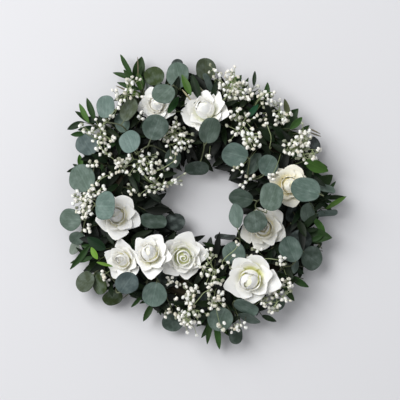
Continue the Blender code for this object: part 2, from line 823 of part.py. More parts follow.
def build_spray(space, ring_tree, node, spray):
    """One spray: a stem, and florets on thin stalks that leave its upper half and spread round it."""
    middle = np.array([spray.x, spray.y, spray.z])
    under = middle - np.array([0.0, 0.0, SPRAY_STEM_LENGTH])
    found = route(space, node, ring_tree, [under, middle], STEM_RADIUS, reach=SPRAY_STEM_REACH)
    if found is None:
        return [], None
    socket, stem, path = found
    shapes = [stem]
    own = []
    draw = stream(node, "florets")
    for number in range(FLORETS):
        for knee, place in floret_tries(draw, path, spray, number):
            bloom = floret(knee, place)
            if space.clear(node, bloom) and not crossings(bloom, own):
                shapes.append(bloom)
                own.append(tree_of(bloom))
                break
    if len(own) < FLORETS:
        print(f"{node}: {len(own)} of {FLORETS} florets")
    return shapes, socket


def petal(origin, axis, whorl, turn, scale, spread):
    """One petal: rows up its height and three columns across, with a pointed lip.

    The lip of the outermost whorl points outwards and that of the others upwards.
    """
    first, second = across(axis)
    grid = np.zeros((len(whorl.rows), 3, 3))
    for row, (distance, height) in enumerate(whorl.rows):
        lip_row = row == len(whorl.rows) - 1
        opens = distance > BLOOM_MIDDLE
        for column, side in enumerate((-1, 0, 1)):
            angle = turn + math.radians(whorl.half_width) * side * PETAL_WIDTHS[row]
            tip = whorl.tip if lip_row and side == 0 else 0.0
            out = (distance * (spread if row else 1.0) + tip * opens - PETAL_EDGE_CURL * abs(side)) * scale
            up = (height + tip * (not opens)) * scale
            arm = first * math.cos(angle) + second * math.sin(angle)
            grid[row, column] = origin + arm * out + axis * up
    return patch(grid, PETAL_THICKNESS)


def build_bloom(space, node, origin, axis, scale, turned):
    """The shapes of one bloom: its bud, then the petals, each drawn in until clear of other nodes."""
    bloom = [lathed(origin, axis, [(out * scale, up * scale) for out, up in BUD_PROFILE], BUD_SIDES)]
    for number, whorl in enumerate(PETAL_WHORLS):
        for count in range(whorl.petals):
            turn = 2 * math.pi * (count / whorl.petals + number * WHORL_TURN) + turned
            for spread in PETAL_SPREADS:
                shape = petal(origin, axis, whorl, turn, scale, spread)
                if space.clear(node, shape):
                    bloom.append(shape)
                    break
            else:
                print(f"{node}: petal {count} of whorl {number} is left out")
    return bloom


def build_rose(space, ring_tree, bloom_node, stem_node, rose):
    """One rose: the shapes of its bloom, those of its stem with the calyx, and its socket."""
    scale = rose.radius / BLOOM_RADIUS
    lean = math.radians(rose.lean)
    axis = compass(rose.toward) * math.sin(lean) + np.array([0.0, 0.0, math.cos(lean)])
    origin = np.array([rose.x, rose.y, rose.z]) - axis * BLOOM_MIDDLE * scale
    bloom = build_bloom(space, bloom_node, origin, axis, scale, math.radians(rose.toward))
    seat = origin - axis * SEAT_GAP
    depth = CALYX_DEPTH * scale
    cup = [(CALYX_RADII[0], 0.0), (CALYX_RADII[1] * scale, depth)]
    calyx = lathed(seat - axis * depth, axis, cup, CALYX_SIDES)
    if not space.clear(stem_node, calyx):
        print(f"{stem_node}: its calyx crosses another node")
    for number, shape in enumerate(bloom):
        space.add(bloom_node, shape, bulky=number == 0)
    targets = [seat - axis * share * depth for share in ROSE_KNEES]
    found = route(space, stem_node, ring_tree, targets, ROSE_STEM_RADIUS, judge=sharp_bends,
                  knee_play=ROSE_KNEE_PLAY)
    if found is None:
        return bloom, [calyx], None
    return bloom, [calyx, found[1]], found[0]


def material(name, colour, roughness, metallic=0.0):
    """A plain finish."""
    made = bpy.data.materials.new(name)
    made.use_nodes = True
    shader = made.node_tree.nodes["Principled BSDF"]
    shader.inputs["Base Color"].default_value = (*colour, 1.0)
    shader.inputs["Roughness"].default_value = roughness
    shader.inputs["Metallic"].default_value = metallic
    return made


def mesh_object(name, shape, collection):
    """An object that holds one shape, in metres."""
    mesh = bpy.data.meshes.new(name)
    mesh.from_pydata((shape.points * MM).tolist(), [], shape.faces)
    made = bpy.data.objects.new(name, mesh)
    collection.objects.link(made)
    return made


def boolean(target, collection, operation):
    """Applies one Boolean of a whole collection to the target and removes the collection's objects.

    The manifold solver keeps each sprig in one closed piece, where the exact one leaves some leaves loose.
    """
    modifier = target.modifiers.new("joined", "BOOLEAN")
    modifier.operation = operation
    modifier.operand_type = "COLLECTION"
    modifier.collection = collection
    modifier.solver = "MANIFOLD"
    graph = bpy.context.evaluated_depsgraph_get()
    result = bpy.data.meshes.new_from_object(target.evaluated_get(graph))
    target.modifiers.clear()
    target.data = result
    for helper in list(collection.objects):
        bpy.data.objects.remove(helper)
    bpy.data.collections.remove(collection)


def whole_part(mesh):
    """Leaves only the largest closed piece of a mesh, so that hollows are filled and scraps dropped."""
    work = bmesh.new()
    work.from_mesh(mesh)
    seen = set()
    islands = []
    for start in work.faces:
        if start in seen:
            continue
        island = [start]
        seen.add(start)
        for face in island:
            for edge in face.edges:
                for beside in edge.link_faces:
                    if beside not in seen:
                        seen.add(beside)
                        island.append(beside)
        islands.append(island)
    islands.sort(key=len)
    for island in islands[:-1]:
        low = np.min([vert.co for face in island for vert in face.verts], axis=0)
        high = np.max([vert.co for face in island for vert in face.verts], axis=0)
        print(f"{mesh.name}: a piece of {len(island)} faces is dropped, {np.round((high - low) / MM, 2)} mm")
        bmesh.ops.delete(work, geom=island, context="FACES")
    work.to_mesh(mesh)
    work.free()


def dressed(target, finish):
    """Gives an object its finish, shaded smooth up to the crease angle."""
    target.data.materials.clear()
    target.data.materials.append(finish)
    target.data.polygons.foreach_set("use_smooth", [True] * len(target.data.polygons))
    target.data.set_sharp_from_angle(angle=CREASE_ANGLE)


def fused(name, shapes, finish):
    """One object made of several shapes by a Boolean union."""
    target = mesh_object(name, shapes[0], bpy.context.scene.collection)
    helpers = bpy.data.collections.new(name + "_pieces")
    bpy.context.scene.collection.children.link(helpers)
    for number, shape in enumerate(shapes[1:]):
        mesh_object(f"{name}_piece_{number}", shape, helpers)
    boolean(target, helpers, "UNION")
    whole_part(target.data)
    dressed(target, finish)


def bored(name, ring, sockets, finish):
    """The ring with a socket cut for every stem."""
    target = mesh_object(name, ring, bpy.context.scene.collection)
    cutters = bpy.data.collections.new(name + "_sockets")
    bpy.context.scene.collection.children.link(cutters)
    for number, (surface, axis, radius) in enumerate(sockets):
        cutter = mesh_object(f"socket_{number}", root_of(surface, axis, radius, SOCKET_GAP), cutters)
        cutter.hide_render = True
        cutter.display_type = "WIRE"
    boolean(target, cutters, "DIFFERENCE")
    dressed(target, finish)


def main():
    """Lays and builds every node."""
    for old in list(bpy.data.objects):
        bpy.data.objects.remove(old)
    finishes = {
        "vine": material("vine", (0.14, 0.09, 0.055), 0.85),
        "rose": material("rose_petal", (0.86, 0.84, 0.76), 0.6),
        "stem": material("rose_stem", (0.10, 0.17, 0.05), 0.6),
        "eucalyptus": material("eucalyptus_leaf", (0.14, 0.23, 0.20), 0.65),
        "pointed": material("pointed_leaf", (0.035, 0.09, 0.02), 0.5),
        "spray": material("babys_breath", (0.82, 0.82, 0.76), 0.8),
    }
    space = Space()
    ring = ring_shape()
    ring_tree = tree_of(ring)
    space.add("vine_base", ring, bulky=True)
    sockets = []
    nodes = []

    def keep(name, shapes, finish, socket, radius):
        """Notes a laid node for the meshes to come."""
        for shape in shapes:
            space.add(name, shape)
        nodes.append((name, shapes, finish))
        if socket:
            sockets.append((*socket, radius))

    for number, rose in enumerate(ROSES, 1):
        names = f"rose_bloom_{number}", f"rose_stem_{number}"
        bloom, stem, socket = build_rose(space, ring_tree, *names, rose)
        nodes.append((names[0], bloom, "rose"))
        keep(names[1], stem, "stem", socket, ROSE_STEM_RADIUS)
    for number, leaves in enumerate(EUCALYPTUS, 1):
        name = f"eucalyptus_{number}"
        shapes, socket = build_eucalyptus(space, ring_tree, name, leaves)
        keep(name, shapes, "eucalyptus", socket, STEM_RADIUS)
    for number, spray in enumerate(SPRAYS, 1):
        name = f"babys_breath_{number}"
        shapes, socket = build_spray(space, ring_tree, name, spray)
        keep(name, shapes, "spray", socket, STEM_RADIUS)
    laid = []
    for number, sprig in enumerate(POINTED, 1):
        name = f"pointed_leaves_{number}"
        shapes, socket, path = build_pointed(space, ring_tree, name, sprig)
        keep(name, shapes, "pointed", socket, STEM_RADIUS)
        laid.append((name, shapes, path))
    for name, shapes, path in laid:
        add_low_leaf(space, name, shapes, path)

    for name, shapes, finish in nodes:
        fused(name, shapes, finishes[finish])
    bored("vine_base", ring, sockets, finishes["vine"])
    print("triangles", sum(len(made.data.loop_triangles) for made in bpy.data.objects))


main()
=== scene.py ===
"""The looks of the wreath: eucalyptus, white roses, baby's breath and dark pointed leaves on a vine ring.

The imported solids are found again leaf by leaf, and each gives way to a finer leaf, bloom or stem in the
same place. A bed of dark leaves, leaves and twigs along the edges, loose tufts of florets and thin
trailing stems are added between them. Sizes are millimetres until a mesh is made, and metres in it. The
wreath lies on its back and is seen from straight above.
"""

import sys

import enum
import logging
import math
import random
from dataclasses import dataclass
from typing import Iterator, NamedTuple, Optional, Sequence

import bpy
import numpy as np
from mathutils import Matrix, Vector
from mathutils.bvhtree import BVHTree


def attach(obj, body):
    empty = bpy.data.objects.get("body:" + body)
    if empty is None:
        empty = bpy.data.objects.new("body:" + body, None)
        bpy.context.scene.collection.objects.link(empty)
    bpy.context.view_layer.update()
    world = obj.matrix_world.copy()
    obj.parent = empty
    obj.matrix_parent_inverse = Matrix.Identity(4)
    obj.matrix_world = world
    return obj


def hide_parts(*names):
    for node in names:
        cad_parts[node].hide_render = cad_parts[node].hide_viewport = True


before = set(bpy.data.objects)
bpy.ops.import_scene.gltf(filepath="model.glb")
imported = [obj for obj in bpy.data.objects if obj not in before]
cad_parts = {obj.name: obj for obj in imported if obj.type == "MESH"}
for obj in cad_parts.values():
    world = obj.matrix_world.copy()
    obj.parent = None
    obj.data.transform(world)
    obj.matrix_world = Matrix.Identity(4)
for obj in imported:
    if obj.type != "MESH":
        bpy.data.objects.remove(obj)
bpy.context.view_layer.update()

log = logging.getLogger("wreath")
MM = 0.001
MM_PER_PIXEL = 1.6
PICTURE_MIDDLE = (204.0, 202.0)
SEED = 11
CREASE_ANGLE = math.radians(50)
TINY = 1e-12
UP = np.array([0.0, 0.0, 1.0])
NEARLY_UP = 0.9

# The length of stem that takes up the whole height of its map
MAP_LENGTH = 20.0

# A floret: its rows and columns of points, how crumpled and how oval it is, and where its poles lie
BALL_ROWS = 5
BALL_COLUMNS = 8
BALL_CRUMPLE = 0.2
BALL_OVAL = 0.14
BALL_POLES = (-0.9, 0.85)

# The ring and the sockets, as the solids have them
RING_RADIUS = 143.0
RING_SECTION = 19.0
RING_AXIS_HEIGHT = 14.0
VINE_RELIEF = 2.4
VINE_STRANDS = 5
VINE_TURNS = 2
RING_STEPS = 42
SOCKET_DEPTH = 9.0
STRAIGHT_RUN = 6.0
RAY_START = 60.0
STEM_RADIUS = 1.5
ROSE_STEM_RADIUS = 2.2
STEM_TAPER = 0.7
LOWEST_SOCKET = -5.0
HIGHEST_SOCKET = 185.0
SOCKET_MARGIN = 10.0
STEM_TRIES = 400
FULL_PLAY_AFTER = 80
AZIMUTH_NEAR = 4.0
AZIMUTH_PLAY = 14.0
ELEVATION_PLAY = 32.0
SOCKET_LEAN = 0.3
KNEE_PLAY = 6.0
ROSE_KNEE_PLAY = 4.0
BOW_PLAY = 16.0
BOW = 0.2

# Leaves, blooms and florets, as the solids have them
LEAF_CUP = 0.05
STALK_LENGTH = 6.0
STALK_DROP = 3.0
ROOT_SINK = 0.35
LIFT_REACH = 27.0
LIFT_STEP = 3.0
POINTED_FULLNESS = 1.25
POINTED_FOLD = 0.18
POINTED_DROOP = 0.12
POINTED_SPREAD = 42.0
POINTED_SHARE = 0.8
POINTED_FOOT_RISE = 10.0
POINTED_KNEE_SHARE = 0.7
POINTED_TRIES = 60
POINTED_TURN_PLAY = 50.0
POINTED_CLIMB = (-0.2, 0.4)
POINTED_CLIMB_PLAY = (-0.5, 0.8)
POINTED_ROLL = 0.3
POINTED_SIZES = (0.85, 1.05)
POINTED_SHRINK = 0.3
LOW_LENGTH = 56.0
LOW_WIDTH = 32.0
LOW_SHARES = (0.05, 0.8)
LOW_TURN_PLAY = 110.0
LOW_CLIMB = (-0.15, 0.35)
LOW_TRIES = 240
BLOOM_RADIUS = 34.0
BLOOM_MIDDLE = 22.0
WHORL_TURN = 0.17
PETAL_SPREADS = (1.0, 0.94, 0.88, 0.82, 0.76, 0.7)
CALYX_DEPTH = 8.0
SEAT_GAP = 0.3
ROSE_KNEES = (1.75, 0.625)
FLORET_RADIUS = 4.0
FLORETS = 8
FLORET_TRIES = 80
SPRAY_STEM_LENGTH = 16.0
SPRAY_STEM_REACH = 1.3
GOLDEN_TURN = 0.382
FLORET_KNEES = (0.15, 0.8)
FLORET_TURN_PLAY = 0.16
FLORET_REACH = (0.7, 1.0)
FLORET_RISE = (-0.2, 1.0)

# The solids' three rounds of petals, each as how many, half width in degrees, distance and height of the
# lip and how far it comes to a point. The corners of a lip are narrower and lie further in.
SOLID_WHORLS = ((2, 80, 12.5, 37, 1.5), (3, 56, 21, 33, 2.5), (5, 34, 34, 25, 5))
LIP_CORNER = 0.8
LIP_SINK = 0.8

# The finer blooms: turns, inner and outer distance, height and closing of the petal rolled up in the
# heart, the core under it as heights and radii, and the dome that fills a bud
TIGHT_ROLL = (1.9, 1.6, 11.0, 37.5, 0.48)
LOOSE_ROLL = (1.5, 2.4, 12.0, 35.5, 0.42)
ROLL_OVAL = 0.16
CORE = ((3, 5.0), (9, 10.0), (15, 13.0), (21, 12.5), (26, 9.0), (30, 3.0))
DOME = ((23, 11.0), (27, 10.4), (30, 9.3), (32.5, 7.7), (34.5, 5.6), (35.7, 3.2), (36.1, 0.8))

# How much of the heart's drift each finer round takes, which of the solids' rounds it stands for, and
# how far a round opens that the solids don't have
DRIFT_SHARES = (1.0, 0.65, 0.2, 0.0)
SOLID_ROUNDS = {0: 0, 1: 1, 3: 2}
FREE_SPREAD = 0.94

# How much larger than a floret the ball is that tries its spot
TRIAL_SIZE = 1.1

# Thin stalks from the ring: how many ways are tried, and how deep in the ring they start
STALK_TRIES = 70
THIN_ROOT = 4

# How near a point must be to a solid to count as lying on it
SAME_PLACE = 0.05

# How far the fill of dark leaves reaches, at every 15 degrees anticlockwise from +X
OUTLINE_STEP = 15
OUTLINE = (
    205, 190, 197, 190, 194, 198, 212, 216, 220, 222, 226, 206, 198,
    214, 228, 212, 190, 198, 205, 203, 202, 198, 200, 188, 205,
)

# The boxes of the hole that stays open, as lowest x and y and highest x and y, and the room kept round them
HOLE_MARGIN = 3
HOLE = ((-40.0, -18.0, 36.0, 42.0), (-30.0, -50.0, 18.0, -18.0))


def linear(red: float, green: float, blue: float) -> np.ndarray:
    """A colour as it looks on a screen, 0 to 255, given in linear light."""
    share = np.array([red, green, blue]) / 255
    return np.where(share < 0.04045, share / 12.92, ((share + 0.055) / 1.055) ** 2.4)


class Tone(enum.Enum):
    """The colours of the eucalyptus leaves, as they look on a screen."""

    SILVER = (91, 109, 100)
    SAGE = (81, 98, 88)
    LIGHT = (96, 115, 108)
    BLUE = (76, 91, 91)
    MOSS = (65, 75, 56)
    OLIVE = (46, 60, 25)
    DEEP = (60, 75, 66)
    # Painted shade: the grey-green darkened for leaves that lie low and deep in the wreath
    DARK = (36, 44, 41)
    PALE = (106, 116, 104)


class Heart(enum.Enum):
    """How the middle of a rose is closed, as the waist and the lip of its two innermost rounds of petals."""

    SWIRL = ((15.5, 26.0), (7.0, 37.0), (18.0, 20.0), (14.0, 35.5))
    OPEN = ((14.0, 26.0), (10.5, 36.5), (18.0, 20.0), (17.5, 35.0))
    BUD = ((19.0, 26.5), (3.4, 38.4), (18.5, 20.0), (12.2, 36.0))


class Leaf(NamedTuple):
    """A round leaf: its middle, its size seen from above, the direction of its long side and of its foot."""

    x: float
    y: float
    z: float
    long: float
    short: float
    slant: float
    foot: float
    tone: Tone


class Surface(NamedTuple):
    """A closed surface: points, triangles that look outwards, a tint and a map place for each point."""

    points: np.ndarray
    triangles: np.ndarray
    tints: np.ndarray
    maps: np.ndarray


class Socket(NamedTuple):
    """Where a stem leaves the ring, and its direction there."""

    surface: np.ndarray
    axis: np.ndarray


def unit(vector: np.ndarray) -> np.ndarray:
    """The vector at length one."""
    return vector / np.linalg.norm(vector)


def compass(degrees: float) -> np.ndarray:
    """The level direction at this angle from +X."""
    turn = math.radians(degrees)
    return np.array([math.cos(turn), math.sin(turn), 0.0])


def across(axis: np.ndarray) -> tuple[np.ndarray, np.ndarray]:
    """Two directions at right angles to the axis and to each other."""
    helper = UP if abs(axis[2]) < NEARLY_UP else np.array([1.0, 0.0, 0.0])
    first = unit(np.cross(helper, axis))
    return first, np.cross(axis, first)


def spread_tint(tint: Sequence[float], count: int) -> np.ndarray:
    """One tint for all the points, or the tints as they are where there is already one for each."""
    return np.broadcast_to(np.asarray(tint, float), (count, 3)).copy()


def strips(index: np.ndarray, after: np.ndarray) -> np.ndarray:
    """Two triangles for each cell between a row of points and the next, and between a column and after."""
    here, beside = index[:-1].ravel(), after[:-1].ravel()
    ahead, corner = index[1:].ravel(), after[1:].ravel()
    return np.vstack([np.stack([here, beside, corner], 1), np.stack([here, corner, ahead], 1)])


def shell(grid: np.ndarray, thickness: float, upper: Sequence[float], lower: Sequence[float]) -> Surface:
    """A closed thin leaf or petal: both sides of a grid of points, joined by walls round its rim.

    Each side lies half the thickness along the grid's normal, which is the cross product of the steps
    from row to row and from column to column.

    Args:
        grid: points by row, along the leaf, and by column, across it.
        thickness: from side to side.
        upper: the tint of the side that the normal looks out of, for all or for each point.
        lower: the tint of the other side.

    Returns:
        The closed surface.
    """
    rows, columns = grid.shape[:2]
    normals = np.cross(np.gradient(grid, axis=0), np.gradient(grid, axis=1))
    normals /= np.linalg.norm(normals, axis=2, keepdims=True) + TINY
    points = np.concatenate([grid + normals * thickness / 2, grid - normals * thickness / 2]).reshape(-1, 3)
    count = rows * columns
    index = np.arange(count).reshape(rows, columns)
    here, beside = index[:-1, :-1].ravel(), index[:-1, 1:].ravel()
    ahead, corner = index[1:, :-1].ravel(), index[1:, 1:].ravel()
    top = np.vstack([np.stack([here, ahead, corner], 1), np.stack([here, corner, beside], 1)])
    rim = np.concatenate([index[:-1, 0], index[-1, :-1], index[:0:-1, -1], index[0, :0:-1]])
    after = np.roll(rim, -1)
    walls = np.vstack([np.stack([after, rim, rim + count], 1), np.stack([after, rim + count, after + count], 1)])
    triangles = np.vstack([top, top[:, ::-1] + count, walls])
    place = np.stack(np.meshgrid(np.linspace(0, 1, columns), np.linspace(0, 1, rows)), -1).reshape(-1, 2)
    tints = np.vstack([spread_tint(upper, count), spread_tint(lower, count)])
    return Surface(points, triangles, tints, np.vstack([place, place]))


def smoothed(path: np.ndarray, rounds: int = 2) -> np.ndarray:
    """The path with its corners cut: each round keeps the points a quarter and three quarters along a run."""
    for _ in range(rounds):
        near = path[:-1] * 0.75 + path[1:] * 0.25
        far = path[:-1] * 0.25 + path[1:] * 0.75
        path = np.vstack([path[:1], np.stack([near, far], 1).reshape(-1, 3), path[-1:]])
    return path


def tube(path: np.ndarray, radii: Sequence[float], tint: Sequence[float], sides: int = 6) -> Surface:
    """A closed round stem: a circle of points carried along the path without turning about it.

    Args:
        path: the points that the middle follows.
        radii: the radius at the first and at the last point, or at each.
        tint: its colour.
        sides: how many points its circle has.

    Returns:
        The closed surface.
    """
    path = np.asarray(path, float)
    count = len(path)
    if len(radii) == 2:
        radii = np.linspace(radii[0], radii[1], count)
    heads = np.gradient(path, axis=0)
    heads /= np.linalg.norm(heads, axis=1, keepdims=True) + TINY
    side = across(heads[0])[0]
    firsts = []
    for head in heads:
        side = unit(side - head * (side @ head))
        firsts.append(side)
    first = np.array(firsts)
    second = np.cross(heads, first)
    turn = 2 * np.pi * np.arange(sides) / sides
    ring = first[:, None] * np.cos(turn)[:, None] + second[:, None] * np.sin(turn)[:, None]
    points = (path[:, None] + ring * np.asarray(radii)[:, None, None]).reshape(-1, 3)
    index = np.arange(count * sides).reshape(count, sides)
    fan = np.stack([np.zeros(sides - 2, int), np.arange(1, sides - 1), np.arange(2, sides)], 1)
    triangles = np.vstack([strips(index, np.roll(index, -1, axis=1)), fan[:, ::-1], fan + (count - 1) * sides])
    length = np.concatenate([[0], np.cumsum(np.linalg.norm(np.diff(path, axis=0), axis=1))])
    maps = np.stack([np.tile(np.arange(sides) / sides, count), np.repeat(length / MAP_LENGTH, sides)], 1)
    return Surface(points, triangles, spread_tint(tint, len(points)), maps)


def ball(middle: np.ndarray, radius: float, waves: Sequence[float], tint: Sequence[float]) -> Surface:
    """A crumpled double floret: a sphere whose radius swells and dips as sines of its two angles.

    Args:
        middle: its middle.
        radius: its mean radius.
        waves: four phases that make it differ from the others.
        tint: its colour.

    Returns:
        The closed surface of a few dozen faces.
    """
    rise = np.linspace(-1, 1, BALL_ROWS + 2)[1:-1, None] * np.pi / 2
    turn = (2 * np.pi * np.arange(BALL_COLUMNS) / BALL_COLUMNS)[None]
    swell = 1 + BALL_CRUMPLE * np.sin(4 * turn + waves[0]) * np.cos(3 * rise + waves[1])
    swell = swell + BALL_CRUMPLE * np.sin(3 * turn + waves[2]) * np.sin(4 * rise + waves[3])
    swell = swell * (1 + BALL_OVAL * np.cos(2 * turn + waves[1]))
    grid = np.stack([np.cos(rise) * np.cos(turn), np.cos(rise) * np.sin(turn), np.sin(rise) + 0 * turn], -1)
    grid = grid * swell[..., None]
    points = np.vstack([grid.reshape(-1, 3), [[0, 0, pole] for pole in BALL_POLES]]) * radius + middle
    count = BALL_ROWS * BALL_COLUMNS
    index = np.arange(count).reshape(BALL_ROWS, BALL_COLUMNS)
    after = np.roll(index, -1, axis=1)
    low, high = np.full(BALL_COLUMNS, count), np.full(BALL_COLUMNS, count + 1)
    caps = np.vstack([np.stack([after[0], index[0], low], 1), np.stack([index[-1], after[-1], high], 1)])
    height = (points[:, 2] - middle[2]) / radius
    crease = np.append(swell.ravel(), [0.9, 0.9])
    # Painted shade: dimmer underneath and in the dips
    painted_shade = (0.84 + 0.16 * np.clip(height + 0.5, 0, 1)) * np.clip(0.5 + 0.5 * crease, 0, 1.02)
    tints = spread_tint(tint, len(points)) * painted_shade[:, None]
    return Surface(points, np.vstack([strips(index, after), caps]), tints, np.zeros((len(points), 2)))


class Solid:
    """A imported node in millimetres, which tells whether a place lies on its surface."""

    def __init__(self, name: str) -> None:
        """Reads the node's mesh.

        Args:
            name: the node.
        """
        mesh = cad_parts[name].data
        points = np.empty(len(mesh.vertices) * 3, np.float32)
        mesh.vertices.foreach_get("co", points)
        mesh.calc_loop_triangles()
        faces = np.empty(len(mesh.loop_triangles) * 3, np.int32)
        mesh.loop_triangles.foreach_get("vertices", faces)
        self.points = points.reshape(-1, 3).astype(float) / MM
        self.tree = BVHTree.FromPolygons(self.points.tolist(), faces.reshape(-1, 3).tolist())

    def gap(self, point: np.ndarray) -> float:
        """How far the point is from the surface."""
        return self.tree.find_nearest(Vector(point))[3]

    def holds(self, points: Sequence[np.ndarray]) -> bool:
        """Whether all the points lie on the surface."""
        return all(self.gap(point) < SAME_PLACE for point in points)


class Room:
    """The space that the leaves laid so far take up, with a test that a new one is clear of them."""

    def __init__(self) -> None:
        """Starts empty."""
        self.trees: list[tuple[str, BVHTree]] = []
        self.lows: list[np.ndarray] = []
        self.highs: list[np.ndarray] = []

    def add(self, owner: str, points: np.ndarray, tree: BVHTree) -> None:
        """Takes up the space of one shape."""
        self.trees.append((owner, tree))
        self.lows.append(points.min(axis=0))
        self.highs.append(points.max(axis=0))

    def clear(self, owner: str, shape: Surface, keep: bool = False) -> bool:
        """Whether the shape crosses nothing but its owner's own.

        Args:
            owner: the name of the piece or node that it belongs to.
            shape: what is to be laid.
            keep: whether it takes up its space from now on, where it is clear.

        Returns:
            True where it is clear.
        """
        low, high = shape.points.min(axis=0), shape.points.max(axis=0)
        near = np.all((low < np.array(self.highs)) & (high > np.array(self.lows)), axis=1)
        tree = BVHTree.FromPolygons(shape.points.tolist(), shape.triangles.tolist())
        for number in np.flatnonzero(near):
            other, other_tree = self.trees[number]
            if other != owner and tree.overlap(other_tree):
                return False
        if keep:
            self.add(owner, shape.points, tree)
        return True

    def under(self, point: np.ndarray, *kinds: str) -> bool:
        """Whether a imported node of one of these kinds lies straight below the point."""
        down = Vector((0, 0, -1))
        return any(
            owner.startswith(kinds) and tree.ray_cast(Vector(point), down)[0] is not None for owner, tree in self.trees
        )


class Graph:
    """The nodes of one material, with short ways to add and join them."""

    def __init__(self, name: str) -> None:
        """Makes the material with its Principled shader."""
        self.material = bpy.data.materials.new(name)
        self.material.use_nodes = True
        self.nodes = self.material.node_tree.nodes
        self.shader = self.nodes["Principled BSDF"]

    def put(self, kind: str, inputs: dict, **settings: object) -> bpy.types.Node:
        """Adds a node.

        Args:
            kind: the node's type, without its ShaderNode.
            inputs: a value or another node's output for each input, by its name or number.
            settings: the node's own settings.

        Returns:
            The node.
        """
        node = self.nodes.new("ShaderNode" + kind)
        for key, value in settings.items():
            setattr(node, key, value)
        for key, value in inputs.items():
            if isinstance(value, bpy.types.NodeSocket):
                self.material.node_tree.links.new(value, node.inputs[key])
            else:
                node.inputs[key].default_value = value
        return node

    def maths(self, kind: str, *values: object) -> bpy.types.NodeSocket:
        """The result of a Math node."""
        return self.put("Math", dict(enumerate(values)), operation=kind).outputs[0]

    def times(self, *values: object) -> bpy.types.NodeSocket:
        """The product of two values."""
        return self.maths("MULTIPLY", *values)

    def minus(self, *values: object) -> bpy.types.NodeSocket:
        """The first value less the second."""
        return self.maths("SUBTRACT", *values)

    def spread(
        self, value: object, low: float, high: float, start: float = 0.0, end: float = 1.0
    ) -> bpy.types.NodeSocket:
        """The value, which runs from start to end, spread from low to high."""
        inputs = {"Value": value, "From Min": start, "From Max": end, "To Min": low, "To Max": high}
        return self.put("MapRange", inputs).outputs[0]

    def noise(self, place: object, scale: float, detail: float) -> bpy.types.NodeSocket:
        """Noise between 0 and 1, finer with a larger scale."""
        return self.put("TexNoise", {"Vector": place, "Scale": scale, "Detail": detail}).outputs["Fac"]

    def tinted(self, colour: object, gain: object) -> bpy.types.NodeSocket:
        """The colour made lighter or darker by the gain."""
        return self.put("VectorMath", {0: colour, "Scale": gain}, operation="SCALE").outputs[0]

    def mixed(self, share: object, first: object, second: object) -> bpy.types.NodeSocket:
        """A share of the second colour in the first."""
        return self.put("Mix", {0: share, 6: first, 7: second}, data_type="RGBA").outputs[2]

    def wire(self, value: bpy.types.NodeSocket, name: str) -> None:
        """Joins a value to an input of the shader."""
        self.material.node_tree.links.new(value, self.shader.inputs[name])


